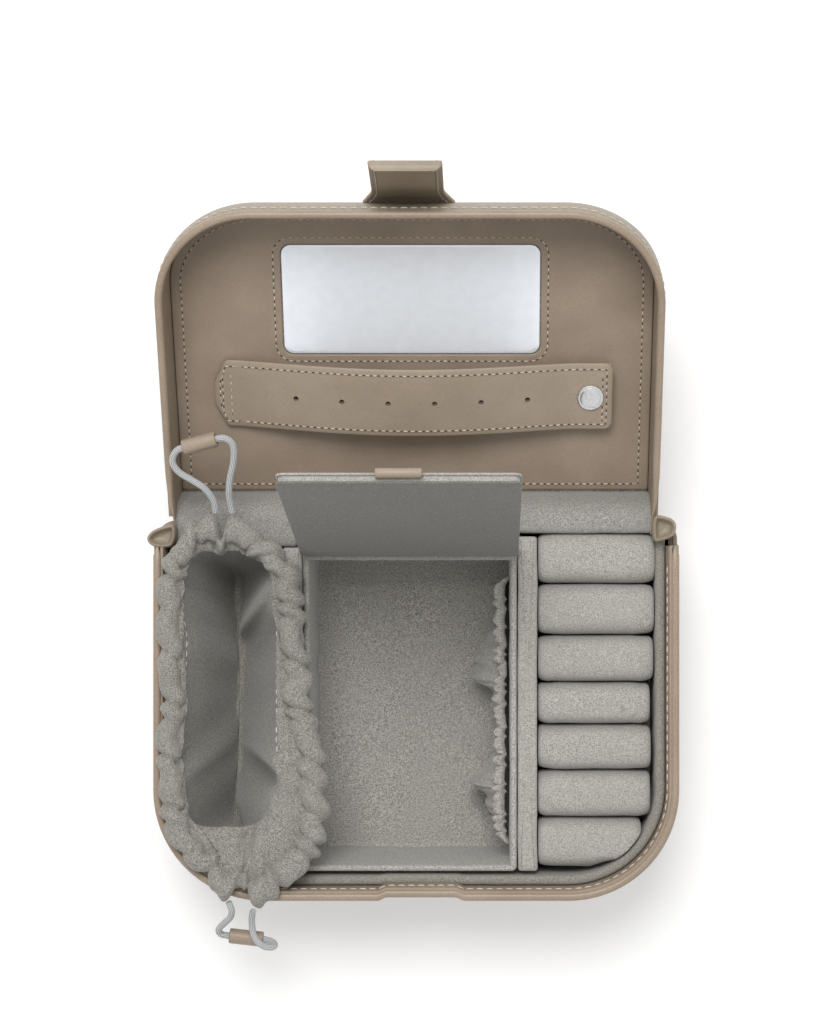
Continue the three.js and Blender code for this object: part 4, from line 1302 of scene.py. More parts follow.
@dataclass
class LiftOutBox:
    """The middle box with its gathered side pocket."""

    x0: float = -36.2
    x1: float = 31.8
    y0: float = -51.55
    y1: float = 49.45
    bottom: float = 4.2
    top: float = 48.0
    wall: float = 2.0
    floor: float = 5.8
    pocket_x: float = 25.3
    pocket_back: float = 29.2
    pocket_cloth: float = 0.5
    pocket_depth: float = 7.6
    pocket_bellies: tuple[tuple[float, float, float], ...] = ((13.0, 9.0, 1.0), (-27.0, 8.5, 0.75))
    pocket_height: float = 31.0
    pocket_half: float = 43.0
    pocket_centre: float = -1.05

    def box(self) -> bpy.types.Object:
        """The box: rings of a rounded rectangle from the underside's middle, over the rim, to the middle of the floor.

        The inner walls lean in by up to half a millimetre and carry shallow creases near the corners.
        """
        plan = rounded_plan(self.x0, self.x1, self.y0, self.y1, 1.6, 2.5, 6)
        rim = np.radians(np.linspace(180, 0, 7))
        shoulder = self.top - 1.0
        lip = np.stack([self.wall / 2 + self.wall / 2 * np.cos(rim), shoulder + np.sin(rim)], axis=-1)
        outer = np.stack([np.zeros(5), np.linspace(self.bottom, shoulder, 5)], axis=-1)
        depth = np.linspace(0, 1, 12)[1:]
        fall = shoulder + (self.floor + 0.8 - self.top + 1.0) * depth
        inside = np.stack([self.wall + 0.3 * np.sin(np.pi * depth), fall], axis=-1)
        fillet = np.array([[self.wall + 0.25, self.floor + 0.25], [self.wall + 0.9, self.floor]])
        section = np.concatenate([outer, lip, inside, fillet])
        rings = plan.stack(section)
        span = np.linspace(0, 1, rings.shape[1], endpoint=False)
        is_inside = np.arange(len(section)) >= len(outer) + len(lip)
        low = np.clip((self.top - 2 - rings[..., 2]) / 30, 0, 1) * is_inside[:, None]
        rings[..., :2] += plan.inward[None] * (0.35 * ripple(span * 5, 11)[None] * low)[..., None]
        middle = np.array([(self.x0 + self.x1) / 2, (self.y0 + self.y1) / 2])
        shares = np.array([0.97, 0.9, 0.8, 0.66, 0.5, 0.34, 0.18, 0.03])
        swell = 0.25 * np.sin(np.pi * (1 - shares))[:, None] * (1 + ripple(span * 3, 12)[None])
        floor = raised(shrunk(rings[-1, :, :2], middle, shares), self.floor + np.abs(swell))
        under = raised(shrunk(rings[0, :, :2], middle, shares[::-1]), self.bottom)
        grid = np.concatenate([under, rings, floor])
        return make_piece("lift_out_box", grid, WEAVE, "base", "middle_box", sharp=50.0)

    def pocket(self) -> bpy.types.Object:
        """The gathered pocket: a sheet along the right wall, drawn in by elastic, with a frill that rolls out.

        Rows climb from the floor to the elastic and then turn over by 150 degrees. Seen from above, a row's distance
        from the wall is a belly, deepest at half height and fullest at two places, plus folds that fan out below the
        elastic. The frill is a row of small puffs, whose size and lean follow the folds.
        """
        along = np.linspace(0, 1, 521)[None]
        y = self.pocket_centre + (along - 0.5) * 2 * self.pocket_half
        phase = 19 * along + 0.5 * ripple(along * 2, 21)
        puffs = np.sqrt(np.cos(np.pi * phase) ** 2 + 0.03)
        rise = np.linspace(0, 1, 22)[:, None]
        full = 0.35 + 0.25 * ripple(along * 2.5, 23)
        for centre, width, size in self.pocket_bellies:
            full = full + size * np.exp(-(((y - centre) / width) ** 2))
        belly = self.pocket_depth * full * np.sin(np.pi * np.clip(rise, 0, 1) ** 0.8)
        folds = 0.9 * (puffs - 0.6) * smoothstep(rise * 1.2)
        folds = folds + 0.5 * ripple(along * 7 + 0.25 * rise, 22) * np.sin(np.pi * rise)
        x = self.pocket_x + 2.6 - belly - folds
        z = self.floor + 0.3 + (self.pocket_height - 0.6) * rise + np.zeros_like(along)
        turn = np.radians(np.linspace(15, 150, 9))[:, None]
        roll = 0.75 + 0.85 * puffs + 0.25 * ripple(along * 9, 24)
        curl_x = x[-1:] - roll * (1 - np.cos(turn)) * 0.95
        curl_y = y + 0.7 * np.sin(turn) * np.sin(2 * np.pi * phase)
        curl_z = z[-1:] + 0.5 + roll * np.sin(turn) * 0.9
        pairs = ((x, curl_x), (np.broadcast_to(y, x.shape), curl_y), (z, curl_z))
        front = np.stack([np.concatenate(pair) for pair in pairs], axis=-1)
        ends = smoothstep((self.pocket_half - np.abs(y - self.pocket_centre)) / 3.5)
        front[..., 0] = self.pocket_back - (self.pocket_back - front[..., 0]) * ends
        across = np.gradient(front, axis=0)
        square = unit(np.stack([across[..., 2], np.zeros(across.shape[:2]), -across[..., 0]], axis=-1))
        grid = np.swapaxes(np.concatenate([front, (front + square * self.pocket_cloth)[::-1]]), 0, 1)
        nodes = ("side_pocket", "side_pocket_elastic")
        piece = make_piece("gathered_pocket", grid, WEAVE, "base", *nodes, sharp=70.0)
        return piece

    def make(self) -> None:
        """Builds the box and its pocket."""
        self.box()
        self.pocket()


@dataclass
class RingRolls:
    """Seven foam rolls covered in suede, pressed side by side so that a ring fits between two."""

    x0: float = 38.6
    x1: float = 75.65
    back: float = 56.3
    front: float = -50.95
    bed: float = 27.0
    height: float = 22.0
    shares: tuple[float, ...] = (0.154, 0.153, 0.14, 0.126, 0.136, 0.141, 0.15)
    right_ends: tuple[float, ...] = (76.0, 75.7, 75.4, 74.3, 74.6, 74.4, 71.6)
    gap: float = 0.25
    corner: tuple[float, float, float] = (48.0, -25.0, 27.4)

    def roll(self, number: int, back: float, length: float) -> bpy.types.Object:
        """One roll: a rounded block whose section is a superellipse, with drawn-in ends and a crown.

        Its coordinates are powers of the sine and cosine of two angles. Slow waves dent the top and the sides, and
        the part past the tray's rounded corner is moved back onto it.

        Args:
            number: The roll's number, counted from the back.
            back: Where its back face lies.
            length: Its size from back to front.

        Returns:
            The piece.
        """
        along = np.linspace(-math.pi / 2, math.pi / 2, 61)[:, None]
        round_it = full_turn(96)[None]
        x = signed_power(np.sin(along), 0.2) * np.ones_like(round_it)
        body = np.abs(np.cos(along)) ** 0.15
        y = signed_power(np.cos(round_it), 0.6) * body
        z = signed_power(np.sin(round_it), 0.72) * body
        half_x, half_y = (self.x1 - self.x0) / 2, (length - self.gap) / 2
        seed = 40 + number
        wave = ripple(x * 0.35 + 0.3 * number, seed) * 0.28 + ripple(y * 0.3 + x * 0.5, seed + 20) * 0.14
        swell = 0.5 * (1 - x**2) * (z > 0) + wave * (z > 0) * np.clip(z, 0, 1)
        px = (self.x0 + self.x1) / 2 + x * half_x - (self.x1 - self.right_ends[number - 1]) * smoothstep(0.5 + x / 2)
        py = back - length / 2 + y * half_y * (1 - 0.02 * np.abs(x) ** 6) + 0.12 * ripple(x * 0.6, seed + 40)
        pz = self.bed + self.height / 2 + z * (self.height / 2 - 0.5) + swell - 0.1
        pz = np.minimum(pz, self.bed + self.height + 0.35)
        cx, cy, radius = self.corner
        dx, dy = px - cx, py - cy
        away = np.hypot(dx, dy)
        pull = np.where((dx > 0) & (dy < 0) & (away > radius), radius / np.maximum(away, 1e-6), 1.0)
        px, py = cx + dx * pull, cy + dy * pull
        grid = np.stack([px, py, pz], axis=-1)
        piece = make_piece(f"ring_pad_{number}", grid, SUEDE, "base", f"ring_roll_{number}", sharp=60.0, weld=0.02)
        return piece

    def make(self) -> None:
        """Builds the rolls from the back to the front."""
        back = self.back
        for number, share in enumerate(self.shares, 1):
            length = (self.back - self.front) * share
            self.roll(number, back, length)
            back -= length


# Pouch


@dataclass
class Pouch:
    """The drawstring pouch: a bag in the left compartment, with a gathered collar folded out over its edge."""

    x0: float = -75.65
    x1: float = -43.0
    y0: float = -51.55
    y1: float = 51.7
    bottom: float = 4.5
    floor_rise: float = 1.4
    top: float = 54.2
    corner: tuple[float, float, float] = (-48.0, -25.0, 27.5)
    brink_middle: tuple[float, float] = (-59.2, 6.6)
    brink_half: tuple[float, float] = (15.3, 43.6)
    foot_middle: tuple[float, float] = (-60.6, 1.5)
    foot_half: tuple[float, float] = (1.1, 38.0)
    ring_level: float = 56.5
    ring_rise: float = 3.7
    ring_under: float = 54.5
    ring_width: tuple[float, float] = (4.6, 0.5)
    fold_sizes: tuple[float, float] = (2.4, 1.2)
    gather_size: float = 1.3
    front_belly: float = 6.0
    exit_drop: float = 4.5
    exits: tuple[float, ...] = (2, 18)
    exit_tips: tuple[float, ...] = (1, 3, 17, 19)
    mouth_eye: tuple[float, float, float] = (-60.0, 5.0, 90.0)
    gathers: int = 32
    inner_count: int = 40
    skirt_rows: int = 9
    samples: int = 1280
    outer: tuple[tuple[float, float], ...] = (
        (-71.2, 60.0), (-64.2, 62.2), (-60.8, 57.4), (-57.9, 62.2), (-50.0, 57.5), (-41.6, 51.6), (-38.6, 48.4),
        (-35.5, 42.8), (-33.4, 25.1), (-32.2, 13.5), (-31.8, 2.7), (-28.5, -9.8), (-27.3, -22.2), (-26.4, -30.5),
        (-28.5, -42.1), (-33.5, -50.4), (-40.1, -55.4), (-48.9, -62.1), (-55.0, -57.0), (-60.8, -60.0), (-66.7, -52.5),
        (-75.8, -44.6), (-80.4, -33.8), (-81.6, -18.1), (-82.0, -8.1), (-80.4, 1.9), (-81.2, 13.5), (-81.6, 25.1),
        (-82.0, 34.6), (-80.2, 47.3), (-76.6, 54.0),
    )
    mouth: tuple[tuple[float, float], ...] = (
        (-68.5, 51.6), (-64.5, 52.2), (-61.3, 51.4), (-58.2, 52.2), (-53.5, 51.2), (-49.2, 48.2), (-47.2, 45.0),
        (-46.3, 40.4), (-45.6, 27.0), (-45.4, 15.5), (-45.0, 3.0), (-44.6, -7.5), (-44.4, -20.0), (-44.4, -29.0),
        (-44.6, -37.0), (-45.4, -43.0), (-47.4, -46.8), (-51.2, -49.2), (-54.5, -49.6), (-58.4, -48.6), (-62.8, -46.0),
        (-67.9, -41.0), (-71.6, -33.0), (-73.6, -19.0), (-74.3, -8.0), (-74.3, 2.0), (-74.4, 13.5), (-74.4, 25.1),
        (-74.2, 34.6), (-73.4, 45.0), (-71.6, 49.8),
    )

    def run(self) -> tuple[Points, Points, Points]:
        """The outer line and the mouth's line at even control numbers, and the share of the outer line's length."""
        count = 200 * len(self.outer)
        outer, mouth = (periodic_curve(np.array(line), count) for line in (self.outer, self.mouth))
        length = run_length(closed(outer))
        return outer, mouth, length / length[-1]

    def way_round(self) -> Points:
        """Shares of the way round the collar at which everything is sampled."""
        return np.linspace(0, 1, self.samples, endpoint=False)

    def share_at(self, control: float) -> float:
        """The share of the outer line's length at a control number, below 0 for one before the first."""
        _, _, share = self.run()
        turns = math.floor(control / len(self.outer))
        at = (control / len(self.outer) - turns) * (len(share) - 1)
        return turns + float(np.interp(at, np.arange(len(share)), share))

    def edge(self) -> tuple[Points, Points]:
        """The collar's outer line at even steps of its length, and the way in toward the mouth from each point."""
        outer, mouth, share = self.run()
        at = np.interp(self.way_round(), share, np.arange(len(share)))
        number = np.arange(len(outer))
        outer, mouth = read_line(at, number, outer), read_line(at, number, mouth)
        return outer, unit(mouth - outer)

    def puffs(self, shift: float) -> Points:
        """The gathers round the mouth, from 0 in a crease to 1 on a puff.

        It is the size of the cosine of half a turn for each gather, rounded at its foot. The gathers are narrower at
        the right than at the left, and their phase runs unevenly.

        Args:
            shift: How far along the edge the gathers have moved, in gathers.

        Returns:
            The value at each point of the way round.
        """
        share = self.way_round()
        phase = self.gathers * share + 0.9 * np.sin(2 * np.pi * (share - 0.35)) + 0.5 * ripple(share * 4, 31) + shift
        return (np.sqrt(np.cos(np.pi * phase) ** 2 + 0.012) - 0.11) / 0.896

    def bells(self, controls: Sequence[float], width: float) -> Points:
        """Narrow bells on the way round, one at each of some control numbers."""
        share = self.way_round()
        gap = np.abs(share[:, None] - np.array([self.share_at(control) for control in controls]))
        return np.exp(-((np.minimum(gap, 1 - gap) / width) ** 2)).sum(axis=1)

    def ring_half(self) -> Points:
        """Half the width of the gathered ring, which is widest at the right."""
        return self.ring_width[0] + self.ring_width[1] * np.cos(2 * np.pi * (self.way_round() - 0.36))

    def ring_rows(self) -> Points:
        """The gathered ring: rows turn round its section from underneath, over the outer edge and top, to the inside.

        The section is an ellipse. A crease draws it in toward the ring's middle line, most at the outer edge, and its
        place along the edge shifts with the angle, so that the creases lean.
        """
        outer, inward = self.edge()
        half = self.ring_half()
        share = self.way_round()
        size = 1.0 + 0.35 * ripple(share * 5, 35)
        middle = outer + inward * half[:, None]
        notch, tips = self.bells(self.exits, 0.009), self.bells(self.exit_tips, 0.009)
        rows = []
        for degrees in (-100, -75, -50, -28, -8, 10, 28, 45, 60, 75, 90, 105, 120, 135, 150, 165, 180, 195):
            angle = math.radians(degrees)
            depth = 0.34 + (0.2 if degrees < 90 else 0.14) * math.cos(angle) ** 2
            draw = 1 - depth * size * (1 - self.puffs(0.5 * (degrees - 10) / 180)) * (1 - 0.85 * tips) - 0.3 * notch
            wrinkle = 0.035 * ripple(share * 11 - 0.003 * degrees, 39, 4)
            reach = half * (draw + wrinkle) * math.cos(angle)
            level = self.ring_level + self.ring_rise * (draw + wrinkle) * math.sin(angle)
            level = level + 0.8 * ripple(share * 5, 36) * max(math.sin(angle), 0)
            lowest = self.ring_under if degrees < 90 else 50.0
            rows.append(raised(middle - inward * reach[:, None], np.maximum(level, lowest)))
        return np.array(rows)

    def collar_grid(self) -> Points:
        """The collar's section all the way round: the gathered ring, the skirt inside it, and the way back."""
        inside = self.inner_rows()[: self.skirt_rows]
        outer, inward = self.edge()
        lift = raised(inward * 0.35, 0.3)
        under = raised(outer + inward * self.ring_half()[:, None], self.ring_under)
        return np.concatenate([self.ring_rows(), inside[2:] + lift, inside[:1:-1] - lift * 0.2, under[None]])

    def collar_part(
        self, side: str, grid: Points, start: float, end: float,
    ) -> bpy.types.Object:
        """One stretch of the collar, cut from the whole grid.

        Args:
            side: Which side of the case it is on.
            grid: The whole collar.
            start: Where the stretch begins, as a share of the way round.
            end: Where it ends.

        Returns:
            The piece.
        """
        first, last = round(start * self.samples), round(end * self.samples)
        index = np.arange(first, last + 1) % self.samples
        part = np.swapaxes(grid[:, index], 0, 1)
        piece = make_piece(f"collar_{side}_gathers", part, POUCH_CLOTH, "base", sharp=80.0, weld=0.005)
        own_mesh(piece)
        return piece

    def collar(self) -> None:
        """The collar in four stretches: back, right, front and left."""
        grid = self.collar_grid()
        cuts = [self.share_at(control) for control in (-1.3, 5.3, 15.0, 21.5, 29.7)]
        stretches = (
            ("back", (0, 1, 0), (-60, 14, 56), 0.84),
            ("right", (1, 0, 0), (-43, 0, 56), 0.9),
            ("front", (0.3, 0.954, 0), (-50, -15, 56), 0.66),
            ("left", (1, 0, 0), (-48, 0, 56), 0.7),
        )
        for number, (side, axis, anchor, keep) in enumerate(stretches):
            piece = self.collar_part(side, grid, cuts[number], cuts[number + 1])
            if side == "back":
                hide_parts("pouch_collar")

    def superellipse(self, middle: Points, half: Points, power: float) -> Points:
        """A rounded plan, read in the directions of the collar's outer line from the pouch's middle.

        Args:
            middle: The middle of the plan.
            half: Its half sizes.
            power: The power of the sine and cosine. A smaller one has squarer corners.

        Returns:
            The plan.
        """
        outer, _ = self.edge()
        low, high = np.array([self.x0, self.y0]), np.array([self.x1, self.y1])
        away = (outer - (low + high) / 2) / (high - low)
        angle = np.arctan2(away[:, 1], away[:, 0])
        way = np.stack([np.cos(angle), np.sin(angle)], axis=-1)
        return middle + half * signed_power(way, power)

    def inside_corner(self, plan: Points, margin: float) -> Points:
        """Keeps a plan a margin inside the compartment, whose front corner is round."""
        x = np.clip(plan[..., 0], self.x0 + margin, self.x1 - margin)
        y = np.clip(plan[..., 1], self.y0 + margin, self.y1 - margin)
        dx, dy = x - self.corner[0], y - self.corner[1]
        reach = np.hypot(dx, dy)
        share = np.minimum((self.corner[2] - margin) / np.maximum(reach, 1e-6), 1.0)
        pull = np.where((dx < 0) & (dy < 0), share, 1.0)
        return np.stack([self.corner[0] + dx * pull, self.corner[1] + dy * pull], axis=-1)

    def inner_rows(self) -> Points:
        """The bag's inner face from the ring to the floor, as a smooth surface through a few rows.

        The rows go from under the ring, over a shelf that is widest at the front, down slanting walls to a narrow
        floor. Long soft folds move them in and out, most at half depth, a crease runs in from each cord exit, and the
        ring's gathers die out in the first rows.
        """
        outer, inward = self.edge()
        share = self.way_round()
        start = outer + inward * (2.02 * self.ring_half() - 0.3)[:, None]
        brink = self.superellipse(np.array(self.brink_middle), np.array(self.brink_half), 0.42)
        foot = self.superellipse(np.array(self.foot_middle), np.array(self.foot_half), 0.7)
        shelf = [(0.0, 55.6), (0.4, 55.2), (0.8, 54.5)]
        wall = [(0.0, 52.2), (0.1, 47.0), (0.28, 39.0), (0.5, 29.0), (0.74, 18.0), (0.92, 10.0), (1.0, 7.0)]
        rows = [raised(start + (brink - start) * part, level) for part, level in shelf]
        rows += [raised(brink + (foot - brink) * part, level) for part, level in wall]
        grid = smooth_rows(np.array(rows), self.inner_count)
        depth = np.linspace(0, 1, self.inner_count)[:, None]
        way = unit(foot - brink)
        swell = np.sin(np.pi * depth * 0.9) ** 0.7
        folds = self.fold_sizes[0] * ripple(share[None] + 0.08 * depth, 52, 6)
        folds = folds + self.fold_sizes[1] * ripple(share[None] * 3 - 0.16 * depth, 53, 4)
        far = np.linalg.norm(grid[..., :2] - start[None], axis=-1) + 0.5 * np.abs(grid[..., 2] - 55.0)
        gathers = self.gather_size * (self.puffs(0.55)[None] - 0.65) * np.exp(-((far / 4.5) ** 2))
        notch = self.bells(self.exits, 0.016)[None] * np.exp(-((depth - 0.2) ** 2) / 0.04)
        front = smoothstep((-22.0 - brink[:, 1]) / 15)[None]
        grid[..., :2] += way[None] * (folds * swell - gathers * 0.6)[..., None]
        grid[..., 1] -= self.front_belly * front * np.sin(np.pi * np.clip(depth * 1.5 - 0.5, 0, 1)) ** 0.6
        grid[..., 2] += folds * 0.8 * swell + gathers - self.exit_drop * notch
        held = smoothstep((55.0 - grid[..., 2:]) / 1.6)
        grid[..., :2] += (self.inside_corner(grid[..., :2], 0.9) - grid[..., :2]) * held
        grid[..., 2] = np.maximum(grid[..., 2], self.bottom + self.floor_rise)
        return grid

    def bag(self) -> bpy.types.Object:
        """The bag: its outer face follows the compartment, and its inner face falls in soft folds to the floor."""
        low, high = np.array([self.x0, self.y0]), np.array([self.x1, self.y1])
        box = self.inside_corner(self.superellipse((low + high) / 2, (high - low) / 2, 0.3), 0.15)
        inner = self.inner_rows()
        share = self.way_round()
        base, middle, lowest = inner[-1], inner[-1, :, :2].mean(axis=0), self.bottom + self.floor_rise
        floor = []
        for s in (0.02, 0.15, 0.35, 0.55, 0.75, 0.9):
            wave = 0.3 * (1 + ripple(share * 4 + s, 55)) * math.sin(math.pi * s)
            floor.append(raised(middle + (base[:, :2] - middle) * s, lowest + (base[:, 2] - lowest) * s**2 + wave))
        rim = raised((inner[0, :, :2] + box) / 2, self.top - 0.6)
        outside = [raised(box, z) for z in (52.8, 40.0, 20.0, self.bottom + 1.0)]
        under = raised(shrunk(box, box.mean(axis=0), (0.97, 0.6, 0.2, 0.02)), self.bottom)
        grid = np.concatenate([floor, inner[::-1], rim[None], outside, under])
        piece = make_piece("drawstring_bag", grid, POUCH_CLOTH, "base", "pouch_bag", sharp=80.0, weld=0.005)
        return piece

    def channel_seam(self) -> bpy.types.Object:
        """The light seam inside the mouth that closes the cord's channel, seen at the left and right."""
        grid = self.inner_rows()
        rows = []
        for first, last, sag in ((23.5, 27.5, 5.0), (8.0, 11.5, 1.5)):
            index = np.arange(int(self.share_at(first) * self.samples), int(self.share_at(last) * self.samples), 3)
            at = self.skirt_rows + 0.6 + sag * np.sin(np.pi * np.linspace(0, 1, len(index)))
            low = np.floor(at).astype(int)
            part = (at - low)[:, None]
            line = grid[low, index] * (1 - part) + grid[low + 1, index] * part
            up = unit(np.cross(np.gradient(line, axis=0), grid[low + 2, index] - grid[low - 1, index]))
            up *= np.sign(np.sum(up * (self.mouth_eye - line), axis=1, keepdims=True))
            rows.append((line + up * 0.25, up))
        return sew("channel_stitches", rows, "base", Seam(pitch=3.0, length=2.0, width=0.38, rise=0.24))

    def make(self) -> None:
        """Builds the pouch's pieces."""
        self.bag()
        self.collar()
        self.channel_seam()


# Lid


@dataclass
class Lid:
    """The lid: leather shell, rim, inner panel, mirror and seams, built flat and then tilted."""

    half_width: float = 77.5
    length: float = 108.5
    depth: float = 25.0
    radius: float = 30.0
    wall: float = 2.0
    skin: float = 0.9
    overhang: float = 2.8
    end_rim: float = 7.6
    end_top: float = 1.5
    slant_reach: float = 30.0
    rim_tip: float = 1.2
    draft: float = 4.5
    draft_start: float = 5.0
    edge_radius: float = 4.0
    panel_bottom: float = -22.0
    panel_top: float = -21.2
    panel_start: float = 7.5
    mirror_size: tuple[float, float] = (80.3, 36.0)
    mirror_start: float = 55.0
    mirror_x: float = -0.3
    mirror_radius: float = 3.0
    mirror_thickness: float = 0.72

    def plan(self, end: float) -> Plan:
        """The lid's outline from its right end round the free edge to its left end.

        Args:
            end: How far from the hinge line it ends.

        Returns:
            The plan.
        """
        x, y, r = self.half_width, self.length, self.radius
        return joined([
            side_point(x, end),
            straight((x, end), (x, y - r), (-1, 0)),
            arc_points(x - r, y - r, r, 0, 90, 33),
            straight((x - r, y), (-x + r, y), (0, -1)),
            arc_points(-x + r, y - r, r, 90, 180, 33),
            straight((-x, y - r), (-x, end), (1, 0)),
            side_point(-x, end),
        ])

    def lean_in(self, height: Points) -> Points:
        """How far the free wall has come in at a height: a line from the draft's start, with a soft beginning."""
        past = -height - self.draft_start
        return self.draft / (self.depth - self.draft_start) * 0.5 * (past + np.sqrt(past**2 + 1.5))

    def drafted(self, grid: Points, plan: Plan) -> Points:
        """Brings the free wall in with depth, by the share that each point of the plan faces it."""
        grid[..., 1] += np.minimum(plan.inward[:, 1], 0)[:, None] * self.lean_in(grid[..., 2])
        return grid

    def slanted(self, grid: Points) -> Points:
        """Moves the wall's ends along its slant at the hinge, which comes nearer the hinge with depth."""
        reach = np.clip((self.slant_reach - grid[:, :1, 1]) / (self.slant_reach - self.end_rim), 0, 1)
        ends = self.end_top + (self.end_rim - self.end_top) * (1 + grid[..., 2] / self.depth)
        grid[..., 1] += reach * (ends - self.end_rim)
        return grid

    def wall_piece(self) -> bpy.types.Object:
        """The side wall: it bellies slightly, leans in at the free edge and turns into the top by a quarter circle."""
        plan = self.plan(self.end_rim)
        low, r = -self.depth, self.edge_radius
        turn = np.radians(np.linspace(0, 90, 9))
        foot = np.stack([r * (1 - np.sin(turn)), low + r * (1 - np.cos(turn))], axis=-1)
        height = np.linspace(0.1, 1, 8)
        outer = np.stack([-0.3 * np.sin(np.pi * height), low + r + (self.depth - r - 2.2) * height], axis=-1)
        inner = np.stack([np.full(7, self.wall), np.linspace(-2.2, low + 1.0, 7)], axis=-1)
        section = np.concatenate([[[r + 3.0, low]], foot, outer, inner, [[r + 3.0, low + 1.0]]])
        grid = self.drafted(self.slanted(plan.sweep(section)), plan)
        return make_piece("lid_outer_leather", grid, LEATHER, "lid", "lid_leather_wall", place=LID)

    def top_piece(self) -> bpy.types.Object:
        """The top leather: a plate with rounded edges, inset where the wall turns under it."""
        plan = self.plan(self.end_rim)
        inset = self.edge_radius - 1.2
        edge = plan.inset(inset)
        edge[:, 1] += np.minimum(plan.inward[:, 1], 0) * self.lean_in(np.array(-self.depth))
        side = self.half_width - inset
        outline = np.concatenate([edge, [[-side, -self.overhang], [side, -self.overhang]]])
        inward = np.concatenate([plan.inward, [[1.0, 1.0], [-1.0, 1.0]]])
        grid = slab(Plan(outline, inward), -self.depth - 0.15, -self.depth + self.skin, 0.4)
        return make_piece("lid_top_panel", grid, LEATHER, "lid", "lid_top_leather", place=LID)

    def rim(self) -> bpy.types.Object:
        """The painted rim, which thins to a point at both ends."""
        plan = self.plan(self.rim_tip)
        section = soft_section(-0.15, self.wall + 0.25, -2.6, 0.0, 1.1, 7)
        grid = plan.sweep(section)
        along = run_length(plan.at)
        near = np.minimum(along, along[-1] - along)
        size = 0.16 + 0.84 * smoothstep(near / 24)
        centre = grid.mean(axis=1, keepdims=True)
        grid = centre + (grid - centre) * size[:, None, None]
        grid[..., :2] += (plan.inward * (1.1 * (1 - smoothstep(near / 14)))[:, None])[:, None]
        return make_piece("lid_painted_rim", grid, EDGE, "lid", "lid_rim_roll", place=LID)

    def panel_outline(self, inset: float, start: float) -> Points:
        """The inner panel's outline as a closed loop from its right bottom corner."""
        plan = self.plan(self.end_rim)
        inside = plan.inset(self.wall + 0.2 + inset)
        inside[:, 1] += np.minimum(plan.inward[:, 1], 0) * self.lean_in(np.array(self.panel_bottom))
        keep = inside[inside[:, 1] > start + 1.5]
        x = self.half_width - self.wall - 0.2 - inset
        return np.concatenate([[[x, start]], keep, [[-x, start]]])

    def window(self, margin: float, step: float = 2.0) -> Plan:
        """The mirror's outline with a margin, as a closed plan from its right side."""
        w, h = self.mirror_size[0] / 2 + margin, self.mirror_size[1] + margin
        low, radius = self.mirror_start - margin, self.mirror_radius + margin
        return rounded_plan(self.mirror_x - w, self.mirror_x + w, low, self.mirror_start + h, radius, step)

    def panel(self) -> bpy.types.Object:
        """The inner leather panel round the mirror's window.

        Rows go from the window's lower lip up over its rounded edge, out across the panel to the outer edge and down.
        Both loops are read at the same directions from the window's middle, and the leather swells gently between them.
        """
        middle = np.array([self.mirror_x, self.mirror_start + self.mirror_size[1] / 2])
        window = self.by_angle(self.window(0.35).at, middle)
        rim = self.by_angle(self.panel_outline(0.0, self.panel_start), middle)
        low, top = self.panel_bottom, self.panel_top
        section = [(0.0, low), (0.0, top - 0.25), (0.004, top - 0.03), (0.012, top + 0.05)]
        for s in (0.05, 0.12, 0.25, 0.4, 0.55, 0.7, 0.83, 0.93):
            section.append((s, top + 0.06 + 0.22 * math.sin(math.pi * s)))
        section += [(0.985, top + 0.06), (0.994, top), (1.0, top - 0.2), (1.0, low)]
        rows = [raised(window + (rim - window) * s, z) for s, z in section]
        piece = Shell("lid_leather_panel").grid(LID.place(np.array(rows)), wrap_rows=True, caps=False).build(45.0)
        return finish_piece(piece, LEATHER_INNER, "lid", "lid_inner_panel")

    def by_angle(self, loop: Points, middle: Points, count: int = 720) -> Points:
        """Reads a closed loop at even directions from a middle point.

        Args:
            loop: The loop, which is seen whole from the middle.
            middle: The middle point.
            count: Number of directions.

        Returns:
            The points of the loop in those directions.
        """
        delta = resample(closed(loop), 6000)[:-1] - middle
        angle = np.arctan2(delta[:, 1], delta[:, 0])
        order = np.argsort(angle)
        angle, delta = angle[order], delta[order]
        at = np.linspace(-math.pi, math.pi, count, endpoint=False)
        full = np.concatenate([angle - 2 * math.pi, angle, angle + 2 * math.pi])
        return middle + read_line(at, full, np.tile(delta, (3, 1)))

    def mirror(self) -> bpy.types.Object:
        """The mirror: a plate with a narrow ground edge."""
        grid = slab(self.window(0.0, 4.0), self.panel_bottom, self.panel_bottom + self.mirror_thickness, 0.16, 3)
        return make_piece("mirror", grid, MIRROR, "lid", "mirror_glass", place=LID, sharp=30.0)

    def seams(self) -> bpy.types.Object:
        """The panel's seam along its edge and the seam round the mirror."""
        rows = []
        for loop in (self.panel_outline(3.2, self.panel_start + 2.2), self.window(2.6).at):
            rows.append((resample(raised(closed(loop), self.panel_top + 0.12), 800), UP))
        return sew("lid_panel_stitches", rows, "lid", FINE_SEAM, LID, THREAD_DARK)

    def outer_seam(self) -> bpy.types.Object:
        """The seam on the outside of the lid's wall, below the rim."""
        plan = self.plan(self.end_rim)
        line = self.drafted(raised(plan.inset(-0.2), -4.6)[:, None], plan)[4:-4, 0]
        up = raised(-plan.inward, 0.0)[4:-4]
        return sew("lid_wall_stitches", [(line, up)], "lid", Seam(pitch=3.0, length=2.2, width=0.4, rise=0.2), LID)

    def make(self) -> None:
        """Builds the lid's pieces."""
        self.wall_piece()
        self.top_piece()
        self.rim()
        self.panel()
        self.mirror()
        self.seams()
        self.outer_seam()


